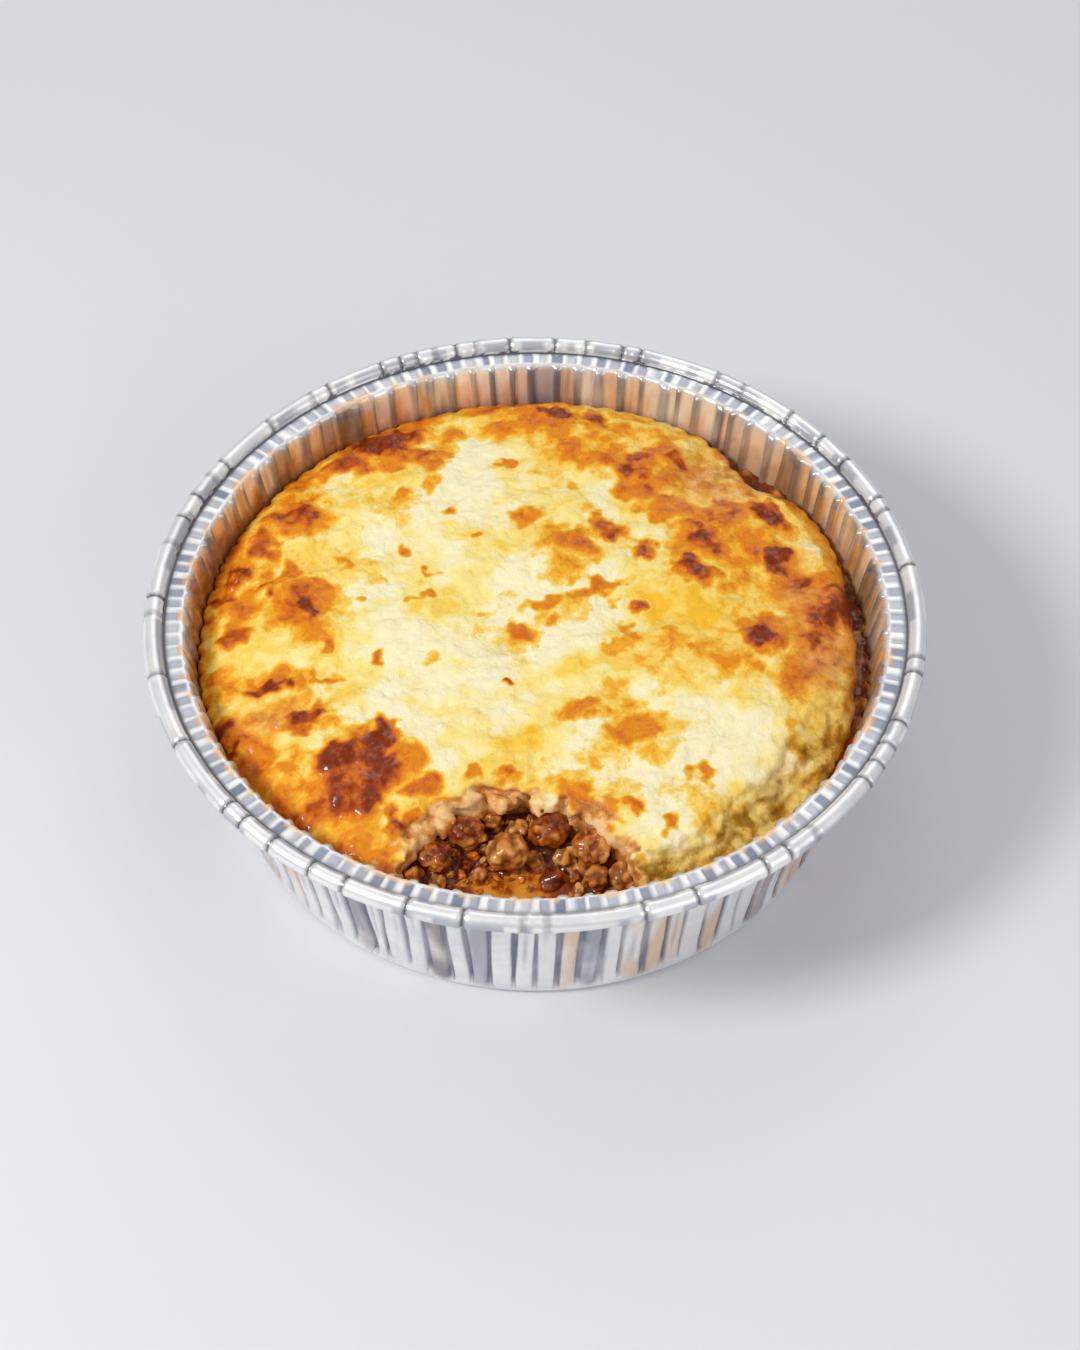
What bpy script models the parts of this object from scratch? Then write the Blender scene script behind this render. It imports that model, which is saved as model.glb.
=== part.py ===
"""A shepherd's pie in its round pleated foil dish, with one helping scooped out at the front.

Run with blender --background --python part.py, or from Blender's text editor.
Metres, +Z up. The origin is the middle of the dish's flat base, and the scooped side faces -Y.
The pieces are the foil dish, the minced meat filling that runs through the pie, the layer of
mashed potato on it, and the large lumps of mince that lie loose in the scooped hollow.
"""

import math
import random

import bmesh
import bpy
from mathutils import Vector, noise
from mathutils.bvhtree import BVHTree

MM = 0.001

# Dish: driving dimensions
RIM_RADIUS = 90.0 * MM          # outside of the rolled bead
DISH_HEIGHT = 51.2 * MM         # top of the rolled bead
BASE_RADIUS = 71.4 * MM         # flat part of the base
FOIL = 0.8 * MM                 # thickness of the pressed foil, with its pleats
BEAD_RADIUS = 2.2 * MM          # of the rolled edge's section
LEDGE_DROP = 2.3 * MM           # the flat ledge lies this far under the bead's top
LEDGE_INNER_RADIUS = 81.4 * MM  # where the ledge turns down into the wall
WALL_FOOT = (74.2 * MM, 8.0 * MM)   # outside of the wall, radius and height, where the pleats end
WALL_TOP = (80.9 * MM, 46.6 * MM)   # outside of the wall under the ledge
PLEATS = 96
PLEAT_DEPTH = 1.0 * MM
PLEAT_SEED = 7
PLEAT_SHIFT = 0.2               # how far a pleat strays from its even place, as a share of a pleat

# Food: driving dimensions
GAP = 0.3 * MM                  # between neighbouring pieces
LAYER_HEIGHT = 34.0 * MM        # where the meat ends and the potato begins
CREVICE_HEIGHT = 33.3 * MM      # gravy level in the gap between potato and dish
POTATO_RADIUS = 75.3 * MM
POTATO_SHOULDER = 41.5 * MM     # height of the potato near its edge
POTATO_CROWN = 45.0 * MM        # height of the potato in the middle
FILLING_SIDE = 27.0 * MM        # height up to which the meat's side follows the dish
SCOOP_CENTRE = (-4.0 * MM, -78.0 * MM)
SCOOP_RADIUS = 31.5 * MM        # of the scooped arch at the potato's surface
SCOOP_SLOPE = 2.2 * MM          # how much narrower the arch is at the meat
SCOOP_RAGGED = 1.5 * MM         # unevenness of the cut
SCOOP_FLOOR = 28.6 * MM         # height of the meat at the front of the hollow
SCOOP_SEGMENTS = 30
SCOOP_LEVELS = (                # height, and share of the slope, from below the potato to above it
    (LAYER_HEIGHT - 2.0 * MM, 1.0),
    (LAYER_HEIGHT + 3.0 * MM, 0.75),
    (LAYER_HEIGHT + 7.0 * MM, 0.2),
    (60.0 * MM, 0.0),
)

FILLING_RELIEF = 1.1 * MM       # unevenness of the bare meat
POTATO_RELIEF = 0.55 * MM       # unevenness of the potato between its mounds
POTATO_ROLL = 3.0 * MM          # how far the potato's edge rolls down from its shoulder
POTATO_LEAST = 2.9 * MM         # thinnest edge of the potato

FOOD_SEGMENTS = 52
FOOD_SEED = 11

# Broad mounds and hollows of the potato: x, y, radius, height in millimetres
MOUNDS = (
    (-41, -40, 15, 1.5),
    (-54, 7, 10, 1.0),
    (-57, 33, 11, 0.9),
    (52, -6, 12, 1.3),
    (35, 17, 12, 1.0),
    (8, 24, 14, 0.9),
    (30, 52, 14, 0.7),
    (2, 66, 12, 1.2),
    (45, 54, 12, -3.0),
    (-9, -11, 14, -0.8),
    (22, 36, 9, -0.8),
    (67, -29, 9, -2.6),
    (59, -45, 10, -3.2),
    (46, -60, 9, -3.4),
    (31, -69, 8, -2.2),
)

# Where the potato's outline runs out to the dish or falls back from it:
# angle and half width in degrees, and the distance in millimetres
BAYS = (
    (44, 8, -5.0),
    (12, 20, -1.5),
    (80, 14, 1.6),
    (108, 8, -1.8),
    (144, 12, 1.0),
    (222, 30, 1.1),
)

# Large lumps of mince in the hollow: x, y, and half their width in millimetres
LUMPS = (
    (-6.2, -59.6, 4.7),
    (2.9, -55.2, 4.7),
    (12.6, -59.0, 4.4),
    (-15.2, -55.6, 4.2),
    (-22.0, -61.2, 3.8),
)


def clear_scene():
    """Start from an empty scene."""
    for thing in list(bpy.data.objects):
        bpy.data.objects.remove(thing, do_unlink=True)


def make_material(name, colour, roughness, metallic=0.0):
    """A Principled material of one colour."""
    material = bpy.data.materials.new(name)
    material.use_nodes = True
    shader = material.node_tree.nodes["Principled BSDF"]
    shader.inputs["Base Color"].default_value = (*colour, 1.0)
    shader.inputs["Roughness"].default_value = roughness
    shader.inputs["Metallic"].default_value = metallic
    return material


def smoothstep(low, high, value):
    """0 below low, 1 above high, and a smooth rise between."""
    share = min(1.0, max(0.0, (value - low) / (high - low)))
    return share * share * (3.0 - 2.0 * share)


def polar(radius, angle, height):
    """A point from its radius and angle round the dish's axis, and its height."""
    return Vector((radius * math.cos(angle), radius * math.sin(angle), height))


def loft(mesh, rings, first, last):
    """Join closed rings of points into one closed body, from the point first to the point last."""
    rows = [[mesh.verts.new(point) for point in ring] for ring in rings]
    start = mesh.verts.new(first)
    end = mesh.verts.new(last)
    count = len(rows[0])
    for j in range(count):
        k = (j + 1) % count
        mesh.faces.new((start, rows[0][k], rows[0][j]))
        mesh.faces.new((end, rows[-1][j], rows[-1][k]))
        for lower, upper in zip(rows, rows[1:]):
            mesh.faces.new((lower[j], lower[k], upper[k], upper[j]))
    bmesh.ops.recalc_face_normals(mesh, faces=mesh.faces)


def add_object(name, mesh, material=None):
    """Put a finished bmesh into the scene as an object."""
    data = bpy.data.meshes.new(name)
    mesh.to_mesh(data)
    mesh.free()
    data.shade_smooth()
    data.set_sharp_from_angle(angle=math.radians(50))
    thing = bpy.data.objects.new(name, data)
    bpy.context.collection.objects.link(thing)
    if material:
        data.materials.append(material)
    return thing


# Foil dish


def pleat_angles():
    """Even and uneven angles of the points round the dish, two to a pleat: crease, then panel."""
    chance = random.Random(PLEAT_SEED)
    creases = [k + chance.uniform(-PLEAT_SHIFT, PLEAT_SHIFT) for k in range(PLEATS)]
    creases.append(creases[0] + PLEATS)
    step = 2.0 * math.pi / PLEATS
    even, uneven = [], []
    for k in range(PLEATS):
        even += [k * step, (k + 0.5) * step]
        uneven += [creases[k] * step, (creases[k] + creases[k + 1]) / 2.0 * step]
    return even, uneven


def bead_arc():
    """Section of the rolled edge: from its underside, round the outside, to the groove inside it."""
    middle_radius = RIM_RADIUS - BEAD_RADIUS
    middle_height = DISH_HEIGHT - BEAD_RADIUS
    turns = [-110, -45, 0, 45, 90, 150]
    return [
        (
            middle_radius + BEAD_RADIUS * math.cos(math.radians(turn)),
            middle_height + BEAD_RADIUS * math.sin(math.radians(turn)),
            0.0,
        )
        for turn in turns
    ]


def dish_profile():
    """Radius, height and share of the pleats, from the outside of the base to the inside of it."""
    ledge = DISH_HEIGHT - LEDGE_DROP
    foot_radius, foot_height = WALL_FOOT
    top_radius, top_height = WALL_TOP
    outside = [
        (BASE_RADIUS, 0.0, 0.0),
        (BASE_RADIUS + 1.9 * MM, 2.0 * MM, 0.35),
        (foot_radius, foot_height, 1.0),
        (top_radius, top_height, 1.0),
        (LEDGE_INNER_RADIUS + FOIL, ledge - FOIL, 0.0),
    ]
    inside = [
        (RIM_RADIUS - 2.0 * BEAD_RADIUS, ledge - 0.2 * MM, 0.0),
        (LEDGE_INNER_RADIUS, ledge, 0.0),
        (top_radius - FOIL, top_height + 0.6 * MM, 0.8),
        (foot_radius - FOIL, foot_height, 1.0),
        (BASE_RADIUS + 1.0 * MM, 2.4 * MM, 0.35),
        (BASE_RADIUS - 0.8 * MM, FOIL, 0.0),
    ]
    return outside + bead_arc() + inside


def make_dish(material):
    """The pressed foil dish: flat base, pleated wall, flat ledge and rolled bead."""
    even, uneven = pleat_angles()
    rings = []
    for radius, height, share in dish_profile():
        ring = []
        for j, (plain, stray) in enumerate(zip(even, uneven)):
            crease = PLEAT_DEPTH * share if j % 2 == 0 else 0.0
            angle = plain + (stray - plain) * share
            ring.append(polar(radius - crease, angle, height))
        rings.append(ring)
    mesh = bmesh.new()
    loft(mesh, rings, Vector((0, 0, 0)), Vector((0, 0, FOIL)))
    return add_object("foil_dish", mesh, material)


def wall_inside(height):
    """Radius that is clear of the dish's pleated wall at a height."""
    foot_radius, foot_height = WALL_FOOT
    top_radius, top_height = WALL_TOP
    share = (height - foot_height) / (top_height - foot_height)
    return foot_radius + share * (top_radius - foot_radius) - FOIL - PLEAT_DEPTH - GAP


# Food


def lumpiness(x, y, scale, seed):
    """Smooth uneven relief between about -1 and 1, with bumps about as wide as scale."""
    return noise.noise(Vector((x / scale, y / scale, seed * 3.7)))


def scoop_reach(x, y):
    """Distance from the scooped arch's edge: above zero inside the hollow."""
    dx = x - SCOOP_CENTRE[0]
    dy = y - SCOOP_CENTRE[1]
    return SCOOP_RADIUS - SCOOP_SLOPE - math.hypot(dx, dy)


def filling_height(x, y):
    """Top of the meat: level under the potato, and falling to the front in the hollow."""
    reach = scoop_reach(x, y)
    sunk = (LAYER_HEIGHT - SCOOP_FLOOR) * smoothstep(0.5 * MM, 26.0 * MM, reach)
    rough = FILLING_RELIEF * lumpiness(x, y, 7.0 * MM, FOOD_SEED) * smoothstep(0.0, 6.0 * MM, reach)
    return LAYER_HEIGHT - sunk + rough


def make_filling(material):
    """The meat in its gravy, from the dish's base up to the potato, and bare in the hollow."""
    turns = [2.0 * math.pi * j / FOOD_SEGMENTS for j in range(FOOD_SEGMENTS)]
    base = FOIL + GAP
    edge = wall_inside(FILLING_SIDE)
    sides = [
        (BASE_RADIUS - 2.2 * MM, base),
        (BASE_RADIUS - 0.6 * MM, 4.0 * MM),
        (edge, FILLING_SIDE),
    ]
    rings = [[polar(radius, turn, height) for turn in turns] for radius, height in sides]
    for share in (1.0, 0.955, 0.9, 0.83, 0.76, 0.69, 0.62, 0.54, 0.35):
        ring = []
        for turn in turns:
            spot = polar(edge * share, turn, 0.0)
            level = filling_height(spot.x, spot.y)
            if share > 0.95:
                level = min(level, CREVICE_HEIGHT)
            ring.append(polar(edge * share, turn, level))
        rings.append(ring)
    mesh = bmesh.new()
    loft(mesh, rings, Vector((0, 0, base)), Vector((0, 0, LAYER_HEIGHT)))
    return add_object("mince_filling", mesh, material)


def potato_edge(turn):
    """Radius of the potato's uneven outline at an angle round the dish."""
    radius = POTATO_RADIUS + 0.3 * MM * math.sin(7 * turn + 2.0)
    for middle, half_width, reach in BAYS:
        away = (math.degrees(turn) - middle + 180.0) % 360.0 - 180.0
        radius += reach * MM * math.exp(-((away / half_width) ** 2))
    return radius


def potato_height(x, y):
    """Top of the potato: a low crown with mounds, hollows and smaller folds."""
    away = min(1.0, math.hypot(x, y) / POTATO_RADIUS)
    height = POTATO_CROWN - (POTATO_CROWN - POTATO_SHOULDER) * away**3
    for mound_x, mound_y, radius, rise in MOUNDS:
        dx = (x - mound_x * MM) / (radius * MM)
        dy = (y - mound_y * MM) / (radius * MM)
        height += rise * MM * math.exp(-(dx * dx + dy * dy))
    return height + POTATO_RELIEF * lumpiness(x, y, 11.0 * MM, FOOD_SEED + 1)


def make_potato(material):
    """The layer of browned mash, before the helping is scooped out."""
    turns = [2.0 * math.pi * j / FOOD_SEGMENTS for j in range(FOOD_SEGMENTS)]
    floor = LAYER_HEIGHT + GAP
    rings = [[polar(potato_edge(turn) * 0.5, turn, floor) for turn in turns]]
    rings.append([polar(potato_edge(turn) - 2.6 * MM, turn, floor) for turn in turns])
    rings.append([polar(potato_edge(turn) - 0.7 * MM, turn, floor + 2.6 * MM) for turn in turns])
    for share in (0.995, 0.965, 0.92, 0.85, 0.77, 0.68, 0.58, 0.47, 0.36, 0.24, 0.12):
        ring = []
        for turn in turns:
            spot = polar(potato_edge(turn) * share, turn, 0.0)
            rolled = POTATO_ROLL * smoothstep(0.93, 1.0, share) ** 2
            level = max(potato_height(spot.x, spot.y) - rolled, floor + POTATO_LEAST)
            ring.append(Vector((spot.x, spot.y, level)))
        rings.append(ring)
    mesh = bmesh.new()
    loft(mesh, rings, Vector((0, 0, floor)), Vector((0, 0, potato_height(0, 0))))
    return add_object("potato_topping", mesh, material)


def make_scoop_cutter():
    """The uneven shape of the helping that was taken out, a little narrower at the bottom."""
    middle = Vector((*SCOOP_CENTRE, 0.0))
    rings = []
    for level, inset in SCOOP_LEVELS:
        ring = []
        for j in range(SCOOP_SEGMENTS):
            turn = 2.0 * math.pi * j / SCOOP_SEGMENTS
            ragged = SCOOP_RAGGED * noise.noise(polar(4.0, turn, level / (9.0 * MM)))
            ring.append(middle + polar(SCOOP_RADIUS - SCOOP_SLOPE * inset + ragged, turn, level))
        rings.append(ring)
    mesh = bmesh.new()
    lowest, highest = SCOOP_LEVELS[0][0], SCOOP_LEVELS[-1][0]
    loft(mesh, rings, middle + Vector((0, 0, lowest)), middle + Vector((0, 0, highest)))
    cutter = add_object("scoop_cutter", mesh)
    cutter.hide_render = True
    cutter.display_type = "WIRE"
    return cutter


def scoop_out(potato):
    """Cut the helping out of the potato."""
    cut = potato.modifiers.new("scoop", "BOOLEAN")
    cut.operation = "DIFFERENCE"
    cut.solver = "EXACT"
    cut.object = make_scoop_cutter()


def make_lump(number, x, y, half_width, filling_tree, material):
    """One uneven lump of mince, let down until it almost touches the meat."""
    mesh = bmesh.new()
    bmesh.ops.create_icosphere(mesh, subdivisions=2, radius=1.0)
    for vert in mesh.verts:
        knobs = 1.0 + 0.13 * noise.noise(vert.co * 1.6 + Vector((number * 5.0, 0, 0)))
        vert.co = Vector((vert.co.x, vert.co.y, vert.co.z * 0.84)) * knobs * half_width
    held_at = Vector((x, y, DISH_HEIGHT))
    down = Vector((0, 0, -1))
    fall = min(filling_tree.ray_cast(vert.co + held_at, down)[3] for vert in mesh.verts)
    for vert in mesh.verts:
        vert.co += held_at + (fall - GAP) * down
    return add_object(f"mince_lump_{number}", mesh, material)


def surface_tree(thing):
    """A tree that finds where a ray meets an object's surface."""
    mesh = bmesh.new()
    mesh.from_mesh(thing.data)
    tree = BVHTree.FromBMesh(mesh)
    mesh.free()
    return tree


def build():
    """Make every piece of the pie."""
    clear_scene()
    make_dish(make_material("foil", (0.78, 0.78, 0.80), 0.28, 1.0))
    filling = make_filling(make_material("minced_meat", (0.13, 0.045, 0.015), 0.35))
    scoop_out(make_potato(make_material("browned_mash", (0.86, 0.60, 0.24), 0.5)))
    lump_material = make_material("mince_lumps", (0.17, 0.06, 0.02), 0.4)
    tree = surface_tree(filling)
    for number, (x, y, half_width) in enumerate(LUMPS, start=1):
        make_lump(number, x * MM, y * MM, half_width * MM, tree, lump_material)


build()
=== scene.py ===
# %% [markdown]
# # A shepherd's pie in its foil dish
#
# The pie is a round pressed foil dish, a filling of minced meat in gravy, and a layer of
# mashed potato that has browned in patches. One helping is scooped out at the front, so the
# meat shows there. The CAD model gives the exact outside sizes of all of this as plain
# solids. This script builds the fine version of each solid in the same place.
#
# Food has no straight edges and no flat colours. Two ideas carry the whole script:
# shapes are sculpted from smooth noise with numpy, and each piece keeps soft numbers on its
# points, such as how browned the mash is there, which the materials turn into colour and gloss.

import itertools
import math

import bpy
import numpy as np
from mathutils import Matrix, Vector


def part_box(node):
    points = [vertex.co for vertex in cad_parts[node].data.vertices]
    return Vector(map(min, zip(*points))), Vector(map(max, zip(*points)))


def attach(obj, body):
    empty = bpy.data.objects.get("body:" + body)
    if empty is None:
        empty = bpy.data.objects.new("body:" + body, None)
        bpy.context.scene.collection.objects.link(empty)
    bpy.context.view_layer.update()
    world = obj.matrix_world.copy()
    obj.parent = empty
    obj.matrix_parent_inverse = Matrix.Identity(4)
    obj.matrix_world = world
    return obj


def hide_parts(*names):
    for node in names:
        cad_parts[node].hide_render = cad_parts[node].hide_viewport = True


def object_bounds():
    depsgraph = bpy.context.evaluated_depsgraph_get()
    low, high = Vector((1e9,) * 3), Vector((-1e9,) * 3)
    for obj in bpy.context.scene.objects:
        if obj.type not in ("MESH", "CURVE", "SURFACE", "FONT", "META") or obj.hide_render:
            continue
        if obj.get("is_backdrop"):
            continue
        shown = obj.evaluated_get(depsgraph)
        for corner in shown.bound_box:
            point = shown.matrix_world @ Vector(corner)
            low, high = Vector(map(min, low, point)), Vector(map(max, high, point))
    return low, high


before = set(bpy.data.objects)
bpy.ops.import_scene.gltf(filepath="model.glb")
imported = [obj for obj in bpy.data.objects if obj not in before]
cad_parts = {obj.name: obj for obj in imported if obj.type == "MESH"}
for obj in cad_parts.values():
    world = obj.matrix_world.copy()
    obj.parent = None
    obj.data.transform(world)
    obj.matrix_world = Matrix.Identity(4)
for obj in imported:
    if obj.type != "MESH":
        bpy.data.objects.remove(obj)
cad_low, cad_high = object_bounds()
MM = 0.001
print("nodes in the frame:", sorted(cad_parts))


# %% [markdown]
# ## Sizes
#
# The sculpting is done in millimetres, because a noise size of 3 is easier to picture than
# 0.003. The main sizes are read from the CAD solids, so the fine pieces cannot drift from them.

# %% Sizes in millimetres, read from the frame
def corners(node):
    """Lowest and highest corner of a CAD node in millimetres."""
    low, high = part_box(node)
    return np.array(low) / MM, np.array(high) / MM


_, dish_high = corners("foil_dish")
mash_low, mash_high = corners("potato_topping")

RIM = dish_high[0]                 # outside of the rolled edge
TOP = dish_high[2]                 # top of the rolled edge
MASH_FLOOR = mash_low[2]           # underside of the mash
MEAT_TOP = MASH_FLOOR - 0.3        # the meat under the mash
BASE_RADIUS = 71.4
WALL_FOOT = (73.8, 8.0)            # middle of the foil where the pleats begin: radius, height
WALL_TOP = (80.5, 46.8)            # middle of the foil under the ledge
SCOOP = np.array([-4.0, -78.0])    # middle of the arch where the helping was taken
SCOOP_RADIUS = 31.5
ARCH_NARROWS = 2.2                 # how much narrower the arch is at the foot of the mash
MASH_RADIUS = 75.2
print("rim radius", round(RIM, 1), "mm, height", round(TOP, 1), "mm, mash from", round(MASH_FLOOR, 1))


# %% [markdown]
# ## Camera
#
# The view looks down at the pie by almost 49 degrees from two thirds of a metre away, through
# a long lens, so the round rim shows as a clean ellipse. The pie sits a little above the middle
# of the tall frame. A small lens shift does that without tilting the view.

# %% Camera
VIEW_DOWN = math.radians(48.7)
VIEW_DISTANCE = 0.676

camera_data = bpy.data.cameras.new("view")
camera_data.lens = 78.5
camera_data.sensor_width = 36.0
camera_data.shift_x = 0.0035
camera_data.shift_y = -0.053
camera_data.clip_start = 0.05
camera = bpy.data.objects.new("view", camera_data)
bpy.context.collection.objects.link(camera)
aim = Vector((0.0, 0.0, TOP * MM))
back = Vector((0.0, -math.cos(VIEW_DOWN), math.sin(VIEW_DOWN)))
camera.location = aim + back * VIEW_DISTANCE
camera.rotation_euler = (-back).to_track_quat("-Z", "Y").to_euler()
bpy.context.scene.camera = camera
print("camera at", [round(value, 3) for value in camera.location])


# %% [markdown]
# ## Noise
#
# Three kinds of unevenness shape everything here. Soft noise is a lattice of random numbers
# with smooth steps between them. Layered noise adds finer and weaker copies of it. Pebbles
# measure the distance to the nearest of many scattered points, which gives the rounded,
# packed look of crumbs and blisters. All three work on whole arrays of points at once.

# %% Noise helpers
LATTICE = 32
TILT = np.array([[0.36, 0.48, -0.8], [-0.8, 0.6, 0.0], [0.48, 0.64, 0.6]])


def smoothstep(low, high, value):
    """0 below low, 1 above high, and a smooth rise between."""
    share = np.clip((value - low) / (high - low), 0.0, 1.0)
    return share * share * (3.0 - 2.0 * share)


def soft_noise(points, size, seed):
    """Smooth noise, mostly between -0.7 and 0.7, with blobs about as wide as size."""
    lattice = np.random.default_rng(seed).uniform(-1.0, 1.0, (LATTICE,) * 3)
    place = points @ TILT / size + 0.37 * seed
    cell = np.floor(place).astype(int)
    share = place - cell
    share = share * share * (3.0 - 2.0 * share)
    total = np.zeros(points.shape[:-1])
    for corner in itertools.product((0, 1), repeat=3):
        weight = 1.0
        for axis in range(3):
            part = share[..., axis]
            weight = weight * (part if corner[axis] else 1.0 - part)
        spot = tuple((cell[..., axis] + corner[axis]) % LATTICE for axis in range(3))
        total += weight * lattice[spot]
    return total


def layered_noise(points, size, seed, layers=3):
    """Soft noise with finer and weaker copies on top."""
    return sum(soft_noise(points, size / 2.1**k, seed + 7 * k) / 2.0**k for k in range(layers))


def pebbles(points, size, seed):
    """Distance to the nearest of many scattered points, 0 at a point and about 0.6 between them."""
    chance = np.random.default_rng(seed)
    offsets = chance.uniform(0.12, 0.88, (LATTICE,) * 3 + (3,))
    place = points @ TILT / size + 0.37 * seed
    cell = np.floor(place).astype(int)
    share = place - cell
    nearest = np.full(points.shape[:-1], 9.0)
    for step in itertools.product((-1, 0, 1), repeat=3):
        spot = tuple((cell[..., axis] + step[axis]) % LATTICE for axis in range(3))
        away = offsets[spot] + np.array(step) - share
        nearest = np.minimum(nearest, np.einsum("...i,...i->...", away, away))
    return np.sqrt(nearest)


test = layered_noise(np.random.default_rng(1).uniform(-50, 50, (5000, 3)), 5.0, 3)
print("layered noise runs from", round(test.min(), 2), "to", round(test.max(), 2))


# %% Helpers for places seen from above
def flat(x, y):
    """Points in a level plane, to read noise at."""
    return np.stack([x, y, np.zeros_like(x)], axis=-1)


def mound(x, y, middle_x, middle_y, wide, deep):
    """1 at a place seen from above, fading to 0 over its half width and half depth."""
    return np.exp(-(((x - middle_x) / wide) ** 2) - ((y - middle_y) / deep) ** 2)


def near_turn(degrees, middle, half_width):
    """1 at an angle round the dish, fading to 0 on both sides of it, all in degrees."""
    away = (degrees - middle + 180.0) % 360.0 - 180.0
    return np.exp(-((away / half_width) ** 2))


print("a mound keeps", round(float(mound(1.0, 0.0, 0.0, 0.0, 2.0, 2.0)), 2), "of its height halfway out")


# %% [markdown]
# ## From a field to a skin
#
# Mash and meat tear, overhang and clump, which a height map cannot show. So they are sculpted
# as a field: a number at every spot of a fine grid that is above zero inside the food. Shapes
# join by taking the larger number and are cut by taking the smaller one, and a soft version of
# either makes a rounded seam. The skin is where the field crosses zero. Surface nets find it:
# each grid cell that the skin crosses gets one point, at the average of the crossings on its
# edges, and each crossed grid edge gets one four-sided face.

# %% Joining and cutting fields
def soft_min(a, b, width):
    """The smaller of two fields, with a rounded seam of that width."""
    blend = np.clip(1.0 - np.abs(a - b) / width, 0.0, 1.0)
    return np.minimum(a, b) - blend * blend * width / 4.0


def soft_max(a, b, width):
    """The larger of two fields, with a rounded seam of that width."""
    return -soft_min(-a, -b, width)


def grid(low, high, step):
    """Grid spots from low to high, as an array of points."""
    lines = [np.arange(a, b + step, step) for a, b in zip(low, high)]
    return np.stack(np.meshgrid(*lines, indexing="ij"), axis=-1)


print("two fields of 1 join softly at", float(soft_min(1.0, 1.0, 1.0)))


# %% The skin of a field
def window(array, axis, offsets):
    """The part of an array of grid edges along one axis that lies beside each cell."""
    cut = [slice(None)] * 3
    for other, offset in zip([a for a in range(3) if a != axis], offsets):
        cut[other] = slice(offset, array.shape[other] - 1 + offset)
    return array[tuple(cut)]


def skin(field, low, step):
    """Points and four-sided faces where the field crosses zero."""
    cells = tuple(size - 1 for size in field.shape)
    total = np.zeros(cells + (3,))
    count = np.zeros(cells, int)
    edges = []
    for axis in range(3):
        first = np.delete(field, -1, axis)
        second = np.delete(field, 0, axis)
        crossed = (first > 0) != (second > 0)
        share = np.divide(first, first - second, out=np.zeros_like(first), where=crossed)
        edges.append((crossed, first > 0))
        for offsets in itertools.product((0, 1), repeat=2):
            here = window(crossed, axis, offsets)
            count += here
            total[..., axis] += window(share, axis, offsets) * here
            for other, offset in zip([a for a in range(3) if a != axis], offsets):
                total[..., other] += offset * here
    active = np.argwhere(count)
    number = np.full(cells, -1)
    number[count > 0] = np.arange(len(active))
    points = low + step * (active + total[count > 0] / count[count > 0][:, None])
    faces = []
    for axis in range(3):
        crossed, inside_first = edges[axis]
        u, v = (axis + 1) % 3, (axis + 2) % 3
        spots = np.argwhere(crossed)
        inner = [(spots[:, a] > 0) & (spots[:, a] < field.shape[a] - 1) for a in (u, v)]
        spots = spots[np.all(inner, axis=0)]
        around = []
        for back_u, back_v in ((1, 1), (0, 1), (0, 0), (1, 0)):
            cell = spots.copy()
            cell[:, u] -= back_u
            cell[:, v] -= back_v
            around.append(number[tuple(cell.T)])
        quads = np.stack(around, axis=1)
        turned = ~inside_first[tuple(spots.T)]
        quads[turned] = quads[turned][:, ::-1]
        faces.append(quads)
    return points, np.concatenate(faces)


ball_spots = grid((-3, -3, -3), (3, 3, 3), 0.5)
ball_points, ball_faces = skin(2.0 - np.linalg.norm(ball_spots, axis=-1), np.full(3, -3.0), 0.5)
ball_radius = float(np.linalg.norm(ball_points, axis=1).mean())
print("a test ball of radius 2 came out at", round(ball_radius, 2), "with", len(ball_faces), "faces")


# %% Evening out a skin
def relax(points, faces, passes, amount=0.5):
    """Move each point part of the way to the middle of its neighbours, to iron out grid steps."""
    tail = np.concatenate([faces[:, k] for k in range(4)])
    head = np.concatenate([faces[:, (k + 1) % 4] for k in range(4)])
    count = np.maximum(np.bincount(tail, minlength=len(points)), 1)[:, None]
    for _ in range(passes):
        sums = [np.bincount(tail, points[head, axis], len(points)) for axis in range(3)]
        points = points + amount * (np.stack(sums, axis=1) / count - points)
    return points


def keep_used(points, faces):
    """Only the points that the faces use, with the faces numbered to match."""
    used = np.unique(faces)
    renumber = np.zeros(len(points), int)
    renumber[used] = np.arange(len(used))
    return points[used], renumber[faces]


evened = relax(ball_points, ball_faces, 1)
print("evening it out moves its points by", round(float(np.abs(evened - ball_points).mean()), 3))


# %% [markdown]
# ## Making a piece
#
# Every piece ends the same way: points and faces become a mesh in metres, shaded smooth, and
# the soft numbers go with it as attributes. The piece then rides on the one rigid body and
# stands for the CAD node it replaces.

# %% Piece helper
def make_piece(name, points, faces, material, slot, replaced=(), **values):
    """A finished mesh piece from points in millimetres, with one attribute for each named value."""
    mesh = bpy.data.meshes.new(name)
    mesh.from_pydata((points * MM).tolist(), [], faces if isinstance(faces, list) else faces.tolist())
    for value_name, numbers in values.items():
        kept = mesh.attributes.new(value_name, "FLOAT", "POINT")
        kept.data.foreach_set("value", np.asarray(numbers, np.float32))
    mesh.shade_smooth()
    mesh.materials.append(material)
    piece = bpy.data.objects.new(name, mesh)
    bpy.context.collection.objects.link(piece)
    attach(piece, "root")
    if replaced:
        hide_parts(*replaced)
    triangles = len(mesh.loops) - 2 * len(mesh.polygons)
    print(name, len(mesh.vertices), "points,", triangles, "triangles")
    return piece


print("finished pieces are scaled by", MM, "from millimetres to metres")


# %% [markdown]
# ## Shader building blocks
#
# Colours are written as the 0 to 255 values that a paint program shows and converted to the
# linear light that Blender works in. One node group, the mottle, gives soft blotches of any
# size. Food and foil both use it, each with its own size and seed, so it is built once.

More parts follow.
